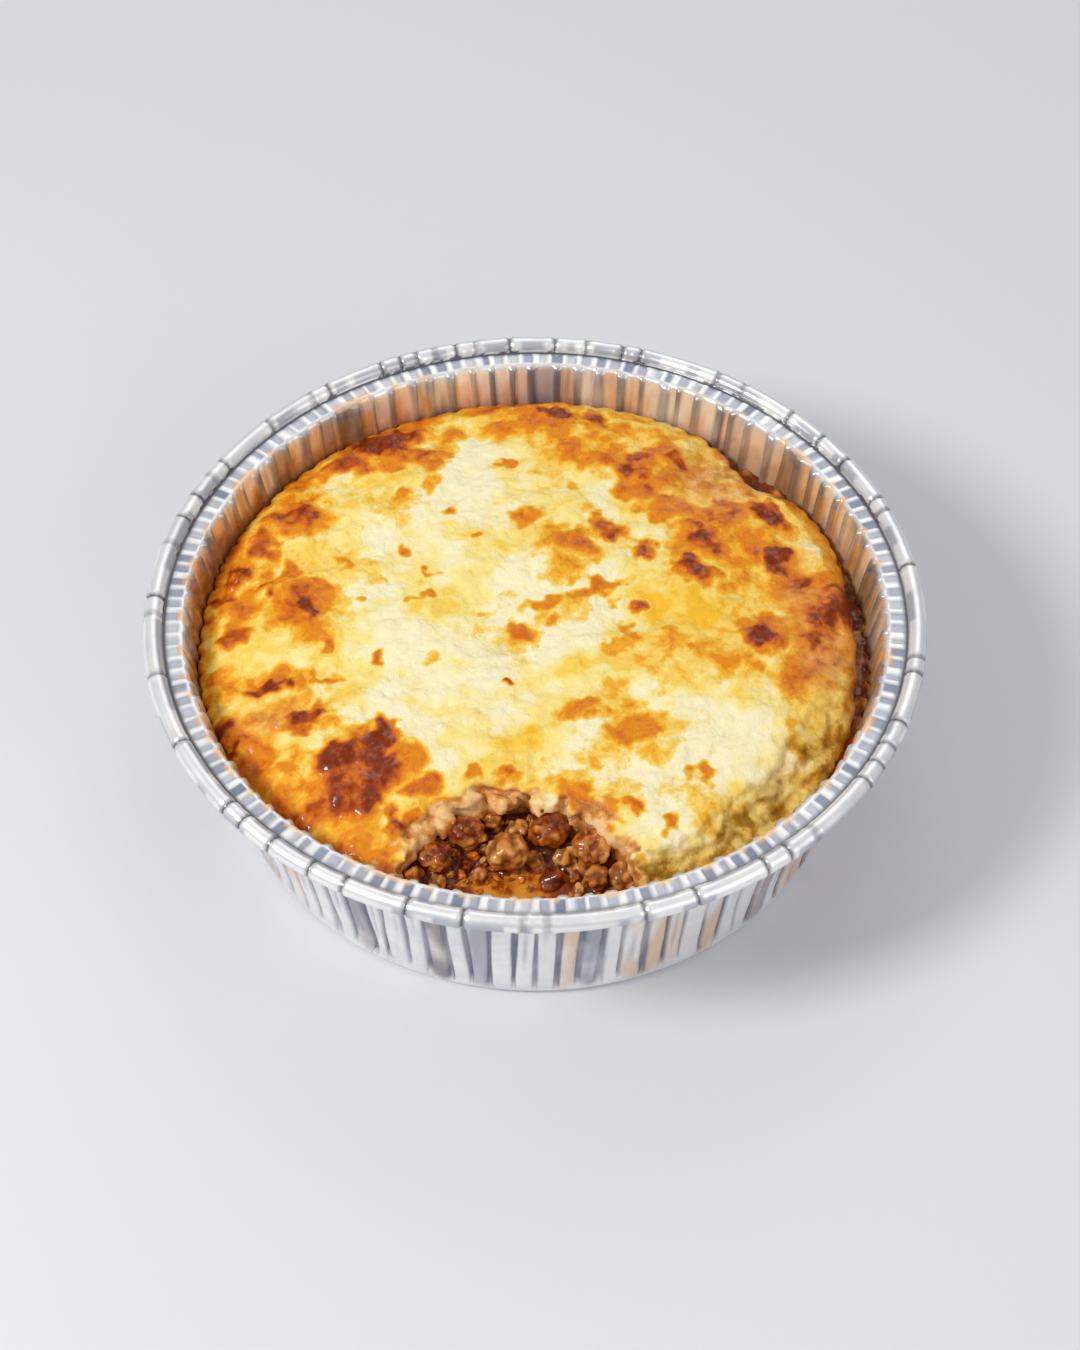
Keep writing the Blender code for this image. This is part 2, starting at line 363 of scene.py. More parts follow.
# %% Colour and material helpers
def tone(red, green, blue):
    """Linear colour from values of 0 to 255 as a screen shows them."""
    parts = [value / 255.0 for value in (red, green, blue)]
    return tuple(p / 12.92 if p < 0.04 else ((p + 0.055) / 1.055) ** 2.4 for p in parts) + (1.0,)


def new_material(name):
    """A material with a Principled shader, and short ways to add and join its nodes."""
    material = bpy.data.materials.new(name)
    material.use_nodes = True
    tree = material.node_tree
    return material, tree, tree.nodes["Principled BSDF"]


print("a screen's mid grey is", round(tone(128, 128, 128)[0], 3), "in linear light")


# %% Node helpers
def set_inputs(node, values):
    """Plain values on a node's own sockets."""
    for name, value in values.items():
        node.inputs[name].default_value = value


def feed(tree, sockets, values):
    """Gives each socket its value, which is a plain number or colour, or another node's output."""
    for socket, value in zip(sockets, values):
        if isinstance(value, bpy.types.NodeSocket):
            tree.links.new(value, socket)
        else:
            socket.default_value = value


def add_math(tree, operation, first, second=0.0, clamp=False):
    """A Math node on numbers or sockets; returns its output."""
    node = tree.nodes.new("ShaderNodeMath")
    node.operation = operation
    node.use_clamp = clamp
    feed(tree, node.inputs, (first, second))
    return node.outputs[0]


def add_range(tree, value, low, high, to_low=0.0, to_high=1.0):
    """A Map Range node that turns low..high into to_low..to_high; returns its output."""
    node = tree.nodes.new("ShaderNodeMapRange")
    tree.links.new(value, node.inputs["Value"])
    set_inputs(node, {"From Min": low, "From Max": high, "To Min": to_low, "To Max": to_high})
    return node.outputs["Result"]


def add_ramp(tree, value, stops):
    """A Color Ramp node from (place, colour) stops; returns its colour output."""
    node = tree.nodes.new("ShaderNodeValToRGB")
    tree.links.new(value, node.inputs["Fac"])
    bands = node.color_ramp.elements
    while len(bands) < len(stops):
        bands.new(0.5)
    for band, (place, colour) in zip(bands, stops):
        band.position = place
        band.color = colour
    return node.outputs["Color"]


def add_mix(tree, share, first, second, blend="MIX"):
    """A colour Mix node on colours or sockets; returns its output."""
    node = tree.nodes.new("ShaderNodeMix")
    node.data_type = "RGBA"
    node.blend_type = blend
    colour_sockets = [s for s in node.inputs if s.type == "RGBA"]
    feed(tree, [node.inputs[0]] + colour_sockets, (share, first, second))
    return [s for s in node.outputs if s.type == "RGBA"][0]


def add_value(tree, name):
    """The number that a piece keeps on its points under that name."""
    node = tree.nodes.new("ShaderNodeAttribute")
    node.attribute_name = name
    return node.outputs["Fac"]


def add_bump(tree, shader, height, strength, distance):
    """A Bump node into the shader's normal; distance in millimetres."""
    node = tree.nodes.new("ShaderNodeBump")
    set_inputs(node, {"Strength": strength, "Distance": distance * MM})
    tree.links.new(height, node.inputs["Height"])
    tree.links.new(node.outputs["Normal"], shader.inputs["Normal"])


print("helpers: math, range, ramp, mix, value and bump nodes")


# %% Mottle: the node group that food and foil share
def build_mottle():
    """Soft blotches: Size in millimetres, Seed, and Sharpness in; Mask from 0 to 1 out."""
    group = bpy.data.node_groups.new("mottle", "ShaderNodeTree")
    for name, value in (("Size", 2.0), ("Seed", 0.0), ("Sharpness", 1.0)):
        socket = group.interface.new_socket(name, in_out="INPUT", socket_type="NodeSocketFloat")
        socket.default_value = value
    group.interface.new_socket("Mask", in_out="OUTPUT", socket_type="NodeSocketFloat")
    nodes = group.nodes
    entry = nodes.new("NodeGroupInput")
    leave = nodes.new("NodeGroupOutput")
    place = nodes.new("ShaderNodeTexCoord")
    noise = nodes.new("ShaderNodeTexNoise")
    noise.noise_dimensions = "4D"
    set_inputs(noise, {"Detail": 4.0, "Roughness": 0.6})
    group.links.new(place.outputs["Object"], noise.inputs["Vector"])
    group.links.new(entry.outputs["Seed"], noise.inputs["W"])
    scale = add_math(group, "DIVIDE", 1.0 / MM, entry.outputs["Size"])
    group.links.new(scale, noise.inputs["Scale"])
    centred = add_math(group, "SUBTRACT", noise.outputs["Fac"], 0.5)
    spread = add_math(group, "MULTIPLY", centred, entry.outputs["Sharpness"])
    mask = add_math(group, "ADD", spread, 0.5, clamp=True)
    group.links.new(mask, leave.inputs["Mask"])
    return group


MOTTLE = build_mottle()


def add_mottle(tree, size, seed, sharpness=3.0):
    """The mottle group with its own values; returns its mask output."""
    node = tree.nodes.new("ShaderNodeGroup")
    node.node_tree = MOTTLE
    set_inputs(node, {"Size": size, "Seed": seed, "Sharpness": sharpness})
    return node.outputs["Mask"]


print("mottle group has sockets", [item.name for item in MOTTLE.interface.items_tree])


# %% [markdown]
# ## The foil dish
#
# A foil dish is stamped from a flat disc, so its wall has to gather: that is why it is pleated.
# Each pleat is a nearly flat panel between two pinched grooves, and no two are quite the same
# width. The ledge on top carries small pressed pads with ribs between them, and the cut edge is
# rolled into a bead that kinks wherever the foil buckled as it was rolled.
#
# One profile turned round the axis gives the sheet, and each point is then moved in or out
# by what the pleats, pads and kinks do there. The foil gets two skins, a third of a
# millimetre apart, because only the inside one is stained by gravy. Each skin has close rings
# only where it shows, so the mesh stays light.

# %% Foil dish: where the grooves, pads and kinks are
PLEATS = 96
STATIONS = (0.0, 0.09, 0.15, 0.21, 0.33, 0.5, 0.67, 0.79, 0.85, 0.91)
FOIL_HALF = 0.16                   # half the thickness of the foil
LEDGE_START = 81.8                 # radius where the wall has turned over into the ledge
pleat_chance = np.random.default_rng(17)

around_count = PLEATS * len(STATIONS)
pleat_place = (np.arange(PLEATS)[:, None] + np.array(STATIONS)[None, :]).ravel()
pleat_number = np.floor(pleat_place).astype(int) % PLEATS
pleat_share = pleat_place - np.floor(pleat_place)
EVEN_TURN = pleat_place * 2 * math.pi / PLEATS


def across_pleats(each):
    """A number for each groove, blended across the panels between them."""
    return each[pleat_number] * (1 - pleat_share) + np.roll(each, -1)[pleat_number] * pleat_share


SHIFT_TURN = across_pleats(pleat_chance.uniform(-0.2, 0.2, PLEATS)) * 2 * math.pi / PLEATS
LEAN_TURN = across_pleats(pleat_chance.uniform(-0.009, 0.009, PLEATS)) * 2 * math.pi / PLEATS
LEAN_FROM = 28.0                   # height at which a leaning groove stands at its own place

nearest_groove = np.where(pleat_share < 0.5, pleat_number, (pleat_number + 1) % PLEATS)
groove_depth = pleat_chance.uniform(0.6, 1.05, PLEATS)[nearest_groove]
groove_width = pleat_chance.uniform(0.08, 0.21, PLEATS)[nearest_groove]
groove_foot = pleat_chance.uniform(0.0, 3.0, PLEATS)[nearest_groove]
panel_fold = (pleat_chance.uniform(0.38, 0.62, PLEATS) * (pleat_chance.random(PLEATS) < 0.4))[pleat_number]
# Some panels carry a painted warm reflection, more of them on the right.
panel_tint = pleat_chance.random(PLEATS)[pleat_number]
# Some panels carry painted blue-grey shade all over.
panel_grey = (pleat_chance.uniform(0.4, 0.9, PLEATS) * (pleat_chance.random(PLEATS) < 0.26))[pleat_number]
print("a pleat is about", round(2 * math.pi * 78 / PLEATS, 1), "mm wide")

PADS = 144
pad_place = EVEN_TURN * PADS / (2 * math.pi)
pad_number = np.floor(pad_place).astype(int) % PADS
pad_middle = 0.5 + pleat_chance.uniform(-0.09, 0.09, PADS)[pad_number]
pad_half = pleat_chance.uniform(0.26, 0.37, PADS)[pad_number]
# Each pad gets painted blue-grey shade of its own strength.
pad_tone = pleat_chance.uniform(0.45, 1.0, PADS)[pad_number]
pad_share = pad_place - np.floor(pad_place)
pad_here = smoothstep(pad_half + 0.05, pad_half - 0.05, np.abs(pad_share - pad_middle))

kink_chance = np.random.default_rng(5)
kinks = np.cumsum(kink_chance.choice([5.0, 8.0, 13.0, 18.0], 90) * kink_chance.uniform(0.8, 1.2, 90))
kinks = kinks[kinks < 2 * math.pi * RIM - 4.0]
from_kink = np.min(np.abs(EVEN_TURN[:, None] * RIM - kinks[None, :]), axis=1)
print("kinks in the rolled edge:", len(kinks))


# %% Foil dish: the sheet's profile
def arc(middle, radius, first, last, count):
    """Points of an arc from one angle to another, in degrees."""
    turns = np.radians(np.linspace(first, last, count))
    return [(middle[0] + radius * math.cos(t), middle[1] + radius * math.sin(t)) for t in turns]


def run(first, last, count):
    """Points along a straight run, without its last one."""
    return [tuple(p) for p in np.linspace(first, last, count, endpoint=False)]


LEDGE = TOP - 2.45
BEAD_RADIUS = 2.05
BEAD_MIDDLE = (RIM - BEAD_RADIUS - FOIL_HALF, TOP - BEAD_RADIUS - FOIL_HALF)
GROOVE_RADIUS = RIM - 2 * BEAD_RADIUS - 0.5


def wall_radius(height):
    """Radius of the middle of the foil at a height on the wall."""
    return np.interp(height, (WALL_FOOT[1], WALL_TOP[1]), (WALL_FOOT[0], WALL_TOP[0]))


def sheet_profile(base, foot, wall_heights, corner, ledge, bead):
    """Radius and height along the sheet, with the number of points that each stretch gets."""
    wall = [(float(wall_radius(height)), height) for height in wall_heights]
    wall[0] = (WALL_FOOT[0] - 0.25, wall[0][1])
    return np.array(
        run((1.5, 0.75), (56.0, 0.75), base)
        + run((57.0, 0.7), (BASE_RADIUS - 1.0, FOIL_HALF), 2)
        + arc((BASE_RADIUS - 1.0, FOIL_HALF + 2.6), 2.6, -88, -12, foot)
        + wall
        + arc((WALL_TOP[0] + 1.3, LEDGE - 1.1), 1.1, 172, 95, corner)
        + run((WALL_TOP[0] + 1.7, LEDGE), (GROOVE_RADIUS - 0.5, LEDGE), ledge)
        + arc((GROOVE_RADIUS, LEDGE + 0.15), 0.5, -110, -10, 3)
        + arc(BEAD_MIDDLE, BEAD_RADIUS, 165, -170, bead)
    )


outer_profile = sheet_profile(3, 4, np.linspace(4.5, 46.2, 15), 4, 3, 7)
inner_profile = sheet_profile(2, 2, [4.5, 16.0, *np.linspace(26.0, 46.2, 13)], 5, 6, 17)
under_food = smoothstep(31.0, 25.0, inner_profile[:, 1]) * (inner_profile[:, 0] > BASE_RADIUS)
inner_profile[:, 0] -= 1.3 * under_food
print("rings: outside", len(outer_profile), "inside", len(inner_profile))


# %% Foil dish: pressing the sheet
NOISE_RADIUS = 80.0                # the wall reads its noise on an even tube of this radius
NARROWED = np.array([1, 1, 0.3])   # makes noise three times as tall as it is wide


def press(profile):
    """Points of the pressed sheet for a profile, and its marks: painted shade in grooves, folds and grey
    panels, painted shade on pads and bead, kinks, and wall share.
    """
    radius = np.repeat(profile[:, :1], around_count, axis=1)
    height = np.repeat(profile[:, 1:], around_count, axis=1)
    from_bead = np.hypot(profile[:, :1] - BEAD_MIDDLE[0], profile[:, 1:] - BEAD_MIDDLE[1])
    before_bead = from_bead > BEAD_RADIUS + 0.05

    foot_rise = 0.6 + groove_foot + 2.0 * np.abs(2 * pleat_share - 1) ** 3
    in_wall = smoothstep(0, 3.0, height - foot_rise)
    in_wall = in_wall * smoothstep(LEDGE_START + 0.1, LEDGE_START - 1.0, radius)
    in_wall = in_wall * smoothstep(0.0, 1.8, LEDGE - height + 0.6)
    turn = EVEN_TURN + (SHIFT_TURN + LEAN_TURN * (height - LEAN_FROM)) * in_wall
    wander = 0.03 * np.sin(height / 7.0 + 2.4 * nearest_groove)
    away = np.minimum(pleat_share, 1 - pleat_share) + wander
    groove = smoothstep(groove_width + 0.05, groove_width - 0.05, away)
    shoulder = np.exp(-(((away - groove_width - 0.07) / 0.05) ** 2))
    fold = np.exp(-(((pleat_share + 2 * wander - panel_fold) / 0.06) ** 2)) * (panel_fold > 0)
    fold = fold * smoothstep(8, 18, height + 4 * np.sin(3.1 * pleat_number))
    moved = 0.12 * shoulder - groove_depth * groove - 0.3 * fold
    spots = np.stack([NOISE_RADIUS * np.cos(turn), NOISE_RADIUS * np.sin(turn), height], axis=-1)
    dents = 0.2 * layered_noise(spots, 9.0, 41, 2)
    radius = radius + in_wall * moved + dents * smoothstep(3, 8, height) * smoothstep(84, 80, radius)

    on_ledge = smoothstep(LEDGE_START - 0.3, LEDGE_START, radius)
    on_ledge = on_ledge * smoothstep(GROOVE_RADIUS, GROOVE_RADIUS - 0.4, radius)
    on_ledge = on_ledge * (height > LEDGE - 0.6) * before_bead
    height = height + on_ledge * (0.08 - 0.22 * pad_here)

    on_bead = 1.0 - before_bead
    kink = np.exp(-((from_kink / 0.5) ** 2))
    swell = 0.2 * np.exp(-((from_kink / 1.8) ** 2)) - 0.6 * kink
    swell = swell + 0.14 * soft_noise(spots[0], 8.0, 8) - 0.14
    bead_out, bead_up = radius - BEAD_MIDDLE[0], height - BEAD_MIDDLE[1]
    bead_length = np.hypot(bead_out, bead_up) + 1e-9
    radius = radius + on_bead * swell * bead_out / bead_length
    height = height + on_bead * swell * bead_up / bead_length
    points = np.stack([radius * np.cos(turn), radius * np.sin(turn), height], axis=-1)

    # Painted blue-grey shade in strokes along the outer and inner faces of the rolled bead.
    section_turn = np.degrees(np.arctan2(bead_up, bead_out))
    outer_face = smoothstep(-75, -45, section_turn) * smoothstep(45, 15, section_turn)
    inner_face = smoothstep(95, 115, section_turn)
    blot = soft_noise(spots[0], 4.5, 9)
    strokes = outer_face * smoothstep(-0.1, 0.05, blot) + inner_face * smoothstep(-0.05, 0.1, -blot)
    patchy = np.clip(0.7 + 1.1 * layered_noise(spots * NARROWED, 5.0, 47), 0, 1)
    # Painted shade: darker in the grooves and folds, and across the grey panels.
    shade = groove * (0.55 + 0.45 * patchy) + 0.45 * fold + panel_grey * (1 - groove) * patchy
    marks = {
        "shade": in_wall * shade,
        "pad": on_ledge * pad_here * pad_tone + 0.55 * on_bead * strokes,
        "kink": on_bead * kink,
        "wall": in_wall * patchy,
    }
    return points, marks


print("each ring of the sheet has", around_count, "points")


# %% Foil dish: the two skins
def sheet_normals(points):
    """Normals of a closed-round grid of points, pointing out of the dish."""
    along = np.gradient(points, axis=0)
    padded = np.concatenate([points[:, -1:], points, points[:, :1]], axis=1)
    normal = np.cross((padded[:, 2:] - padded[:, :-2]) / 2, along)
    return normal / np.linalg.norm(normal, axis=-1, keepdims=True)


def round_faces(rows, count, first):
    """Four-sided faces of a closed-round grid whose points are numbered from first."""
    lower = first + np.arange(rows - 1)[:, None] * count + np.arange(count)[None, :]
    right = first + np.arange(rows - 1)[:, None] * count + (np.arange(count)[None, :] + 1) % count
    return np.stack([lower, right, right + count, lower + count], axis=-1).reshape(-1, 4)


outer_sheet, outer_marks = press(outer_profile)
inner_sheet, inner_marks = press(inner_profile)
outer_skin = (outer_sheet + FOIL_HALF * sheet_normals(outer_sheet)).reshape(-1, 3)
inner_skin = (inner_sheet - FOIL_HALF * sheet_normals(inner_sheet)).reshape(-1, 3)
outer_count = len(outer_skin)
print("foil skins:", outer_count, "points outside,", len(inner_skin), "inside")


# %% Foil dish: the inside wall that the food lies against
inner_grid = inner_skin.reshape(len(inner_profile), around_count, 3)
on_wall = (inner_profile[:, 0] > WALL_FOOT[0] - 1.7) & (inner_profile[:, 1] < LEDGE - 2.4)
wall_rows = np.flatnonzero(on_wall)


def foil_inside(height):
    """Points round the inside of the foil at a height on its wall."""
    row = float(np.interp(height, inner_profile[wall_rows, 1], wall_rows))
    lower, share = int(row), row % 1.0
    return inner_grid[lower] * (1 - share) + inner_grid[lower + 1] * share


WALL_SLOPE = (WALL_TOP[0] - WALL_FOOT[0]) / (WALL_TOP[1] - WALL_FOOT[1])
PRESSED_AT = 37.0
pressed_ring = foil_inside(PRESSED_AT)
pressed_turn = np.arctan2(pressed_ring[:, 1], pressed_ring[:, 0])
pressed_order = np.argsort(pressed_turn)
pressed_radius = np.hypot(pressed_ring[:, 0], pressed_ring[:, 1])[pressed_order]


def pleated_inside(turn, height):
    """Radius of the inside of the foil, pleats and all, at an angle and a height."""
    radius = np.interp(turn, pressed_turn[pressed_order], pressed_radius, period=2 * math.pi)
    return radius + WALL_SLOPE * (height - PRESSED_AT)


print("inside of the wall at", PRESSED_AT, "mm:", round(float(pressed_radius.mean()), 1), "mm out")


# %% Foil dish: faces, and the hem that joins the skins
outer_end = outer_count - around_count + np.arange(around_count)
inner_end = outer_count + len(inner_skin) - around_count + np.arange(around_count)
hem = np.stack([outer_end, np.roll(outer_end, -1), np.roll(inner_end, -1), inner_end], axis=1)
foil_points = np.concatenate([outer_skin, inner_skin])
foil_faces = round_faces(len(outer_profile), around_count, 0).tolist()
foil_faces += round_faces(len(inner_profile), around_count, outer_count)[:, ::-1].tolist() + hem.tolist()
foil_faces.append(list(range(around_count))[::-1])
foil_faces.append(list(range(outer_count, outer_count + around_count)))
print("foil faces:", len(foil_faces))


# %% [markdown]
# ### Where the foil carries painted shade, painted reflection and stain
#
# Grooves and folds carry painted blue-grey shade, and so do some whole panels, the pads and
# strokes along the rolled bead. Kinks and the groove on the ledge carry painted dark shade, and
# here and there a panel carries a painted warm reflection. Inside, the gravy and fat boiled up
# between mash and foil and ran down again, so the stain hangs in streaks, one or two to a pleat:
# a pale tan film at the top, orange lower down, and scorched brown just above the food. The
# orange is partly real stain and partly a painted reflection of the food. The back, where the
# mash rose highest, stayed almost clean.

# %% Foil dish: stain, painted reflection and painted groove shade on the points
inner_radius = np.hypot(inner_sheet[..., 0], inner_sheet[..., 1])
inner_height = inner_sheet[..., 2]
inner_turn = np.degrees(np.arctan2(inner_sheet[..., 1], inner_sheet[..., 0]))


def around(middle, half_width):
    """1 at an angle round the inside of the dish, fading to 0 on both sides of it."""
    return near_turn(inner_turn, middle, half_width)


run_down = pleat_chance.random((PLEATS, 2))
streak = run_down[pleat_number, (pleat_share > 0.5).astype(int)]
thread = np.random.default_rng(29).random(around_count)
thread = 0.5 * thread + 0.25 * (np.roll(thread, 1) + np.roll(thread, -1))
clean = np.clip(0.75 * around(85, 24) + 0.35 * around(60, 16), 0, 0.85)
# How orange the stain film is: partly real baked-on gravy, partly a painted reflection of the food.
warm = 0.1 + 0.6 * around(175, 55) + 0.3 * around(125, 25) + 0.5 * around(-10, 40) + 0.4 * streak
warm = np.clip(warm, 0, 1)
film_top = 48.6 - 3.2 * streak - 2.0 * clean
film = smoothstep(film_top + 0.6, film_top - 1.4, inner_height)
drift = 0.5 + 0.5 * layered_noise(inner_sheet * NARROWED, 4.0, 23)
stain = film * np.clip(0.1 + 0.5 * streak + 0.35 * drift + 0.5 * thread - 0.8 * clean, 0, 1)
scorch_top = 42.0 + 3.5 * (drift - 0.5) + 3.0 * (streak - 0.5) + 4.0 * (thread - 0.5) - 1.5 * clean
scorch_top = scorch_top + 2.5 * around(180, 38)
scorch = smoothstep(scorch_top + 1.8, scorch_top - 2.4, inner_height) * (1 - 0.55 * clean)
scorch = scorch * (0.4 + 0.6 * around(178, 48))
inside_wall = smoothstep(LEDGE_START + 0.2, LEDGE_START - 0.6, inner_radius)
inside_wall = inside_wall * smoothstep(24.0, 28.0, inner_height)
drips = (streak > 0.62) * smoothstep(LEDGE_START + 0.9, LEDGE_START + 0.3, inner_radius)
drips = drips * smoothstep(47.0, 48.2, inner_height)
stain = np.clip(stain * inside_wall + 0.55 * drips * (1 - clean), 0, 1)
scorch = np.clip(scorch * inside_wall, 0, 1)
# Painted dark shade along the groove between ledge and bead, on the inside.
in_groove = np.abs(inner_radius - GROOVE_RADIUS) < 0.55
dark_ring = np.where(in_groove & (inner_height < LEDGE + 0.5), 0.9, 0.0)
print("stain covers", round(float((stain > 0.3).mean()), 2), "of the inside")


# %% Foil material
def foil_material():
    """Bright foil with painted blue-grey shade in its grooves, panels and pads, painted warm reflections
    on some panels, and tan to brown where gravy baked on.
    """
    material, tree, shader = new_material("pressed_foil")
    shade = add_value(tree, "shade")
    pad = add_value(tree, "pad")
    crease = add_value(tree, "crease")
    stain_amount = add_value(tree, "stain")
    scorch_amount = add_value(tree, "scorch")
    warm_amount = add_value(tree, "warm")
    bare = add_mix(tree, add_mottle(tree, 9.0, 1.0, 4.0), tone(240, 240, 244), tone(255, 254, 251))
    # Painted warm reflection on some panels.
    blush = add_mix(tree, add_value(tree, "tint"), bare, tone(240, 208, 180))
    # Painted blue-grey shade in grooves, folds and grey panels.
    shaded = add_mix(tree, shade, blush, tone(120, 125, 144))
    # Painted blue-grey shade on the pads and in strokes on the bead.
    padded = add_mix(tree, pad, shaded, tone(132, 139, 160))
    # Painted dark shade in the kinks and the ledge groove.
    creased = add_mix(tree, crease, padded, tone(60, 60, 72))
    # The stain film goes from pale tan to orange, partly a painted reflection of the food.
    film_tone = add_mix(tree, warm_amount, tone(252, 226, 160), tone(246, 170, 72))
    # Painted shade in the grooves darkens the stain film too.
    film_shade = add_mix(tree, shade, film_tone, tone(160, 130, 92))
    burnt = add_mix(tree, add_mottle(tree, 2.4, 5.0, 4.0), tone(200, 132, 56), tone(116, 70, 26))
    filmed = add_mix(tree, stain_amount, creased, film_shade)
    scorched = add_math(tree, "MULTIPLY", scorch_amount, 0.85)
    tree.links.new(add_mix(tree, scorched, filmed, burnt), shader.inputs["Base Color"])
    dirt = add_math(tree, "MAXIMUM", stain_amount, scorched)
    tree.links.new(add_range(tree, dirt, 0.1, 0.9, 0.5, 0.15), shader.inputs["Metallic"])
    rough = add_range(tree, add_mottle(tree, 3.0, 9.0, 3.0), 0.0, 1.0, 0.29, 0.38)
    tree.links.new(rough, shader.inputs["Roughness"])
    add_bump(tree, shader, add_mottle(tree, 8.0, 3.0, 0.9), 0.2, 0.3)
    return material


foil_paint = foil_material()
print("the foil material has", len(foil_paint.node_tree.nodes), "nodes")


# %% Foil dish: the finished piece
def foil_values(marks, extra_crease):
    """Painted shade, painted pad and bead shade, painted crease shade and painted warm reflection at each
    point of a skin.
    """
    # Painted dark shade in the kinks of the bead, and along the ledge groove inside.
    crease = np.clip(0.9 * marks["kink"] + extra_crease, 0, 1)
    # Painted warm reflection on some panels, more of them towards the right.
    towards_right = smoothstep(-0.1, 0.8, np.cos(EVEN_TURN))
    tint = marks["wall"] * np.clip((panel_tint + 0.35 * towards_right - 0.66) / 0.2, 0, 1)
    return np.clip(marks["shade"], 0, 1), marks["pad"], crease, tint


outer_values = foil_values(outer_marks, 0.0)
inner_values = foil_values(inner_marks, dark_ring)
shade_value, pad_value, crease_value, tint_value = [
    np.concatenate([outer.ravel(), inner.ravel()]) for outer, inner in zip(outer_values, inner_values)
]
none_outside = np.zeros(outer_count)
make_piece(
    "pressed_foil_dish", foil_points, foil_faces, foil_paint, "foil", ["foil_dish"],
    shade=shade_value, pad=pad_value, crease=crease_value, tint=tint_value,
    stain=np.concatenate([none_outside, stain.ravel()]),
    scorch=np.concatenate([none_outside, scorch.ravel()]),
    warm=np.concatenate([none_outside, warm.ravel()]),
)


# %% [markdown]
# ## Mashed potato
#
# The mash is spooned on, spread, and browned under heat. Its top is a low crown with soft
# folds where the spoon passed, its outline is lobed, and on one side a terrace has slumped
# towards the dish. Heat catches the high spots and the rim first: they blister, darken from
# gold to deep brown, and turn glossy with fat. Where the helping was taken the mash is torn,
# not cut, so that face is lumpy and tan.
#
# The browning comes first, because the blisters follow it. It is a flat map seen from above,
# made from ellipses in three steps: broad warm zones, the browned spots that the eye
# picks out, and many small flecks. Their outlines are broken up by bending the coordinates
# with noise before the ellipses are read.

# %% Mash: a map seen from above
MAP_STEP = 0.4
MAP_REACH = 80.0
map_line = np.arange(-MAP_REACH, MAP_REACH + MAP_STEP, MAP_STEP)
map_x, map_y = np.meshgrid(map_line, map_line, indexing="ij")
map_spots = flat(map_x, map_y)


def read_map(table, x, y):
    """Value of a map at any places, blended between its four nearest spots."""
    u = np.clip((x + MAP_REACH) / MAP_STEP, 0, len(map_line) - 1.001)
    v = np.clip((y + MAP_REACH) / MAP_STEP, 0, len(map_line) - 1.001)
    i, j = u.astype(int), v.astype(int)
    a, b = u - i, v - j
    near = (1 - b) * table[i, j] + b * table[i, j + 1]
    far = (1 - b) * table[i + 1, j] + b * table[i + 1, j + 1]
    return (1 - a) * near + a * far


def bent(amount, size, seed):
    """The map's coordinates, pushed about by noise so that ellipses read there come out ragged."""
    push_x = layered_noise(map_spots, size, seed) + 0.4 * soft_noise(map_spots, size * 0.3, seed + 2)
    push_y = layered_noise(map_spots, size, seed + 5) + 0.4 * soft_noise(map_spots, size * 0.3, seed + 9)
    return map_x + amount * push_x, map_y + amount * push_y


def ellipse(places, middle_x, middle_y, wide, deep, turn):
    """Distance from an ellipse's middle in parts of its half width: 1 on its outline."""
    cos, sin = math.cos(math.radians(turn)), math.sin(math.radians(turn))
    along = ((places[0] - middle_x) * cos + (places[1] - middle_y) * sin) / wide
    across = ((places[1] - middle_y) * cos - (places[0] - middle_x) * sin) / deep
    return np.hypot(along, across)


print("map of", len(map_line), "by", len(map_line), "spots")


# %% Mash: browned zones, spots and flecks
# Broad warm zones: x, y, half width, half depth, turn in degrees, strength
WARMED = (
    (60, 2, 17, 26, 5, 0.6), (62, -14, 12, 16, 0, 0.56), (30, 52, 22, 13, -25, 0.56),
    (45, 28, 16, 14, -30, 0.58), (4, 66, 26, 8, 0, 0.5), (24, 67, 16, 5, -20, 0.58),
    (-36, 60, 18, 8, 30, 0.62),
    (-57, 36, 10, 14, 25, 0.58), (-70, 14, 6, 20, -5, 0.52), (-66, -24, 9, 16, 20, 0.44),
    (-46, -50, 24, 22, 30, 0.56), (-28, -62, 14, 8, 20, 0.5), (-60, -44, 9, 16, 40, 0.5),
    (-56, 8, 12, 11, 0, 0.42), (6, 24, 12, 12, 20, 0.34), (4, 6, 14, 5, 12, 0.26),
    (-4, -4, 8, 6, -30, 0.26), (22, -30, 15, 9, 20, 0.34), (34, -10, 16, 9, 0, 0.36),
    (16, -50, 18, 9, -20, 0.3), (-56, -22, 12, 10, 30, 0.46), (42, -56, 16, 9, -35, 0.32),
    (66, -30, 6, 12, -20, 0.4), (70, 2, 7, 26, 0, 0.66), (52, 50, 6, 14, 30, 0.6),
    (-30, 40, 12, 7, 20, 0.22), (-44, 16, 11, 4, -25, 0.26), (-6, -48, 14, 5, 0, 0.3),
    (8, 56, 12, 8, 10, 0.44),
)
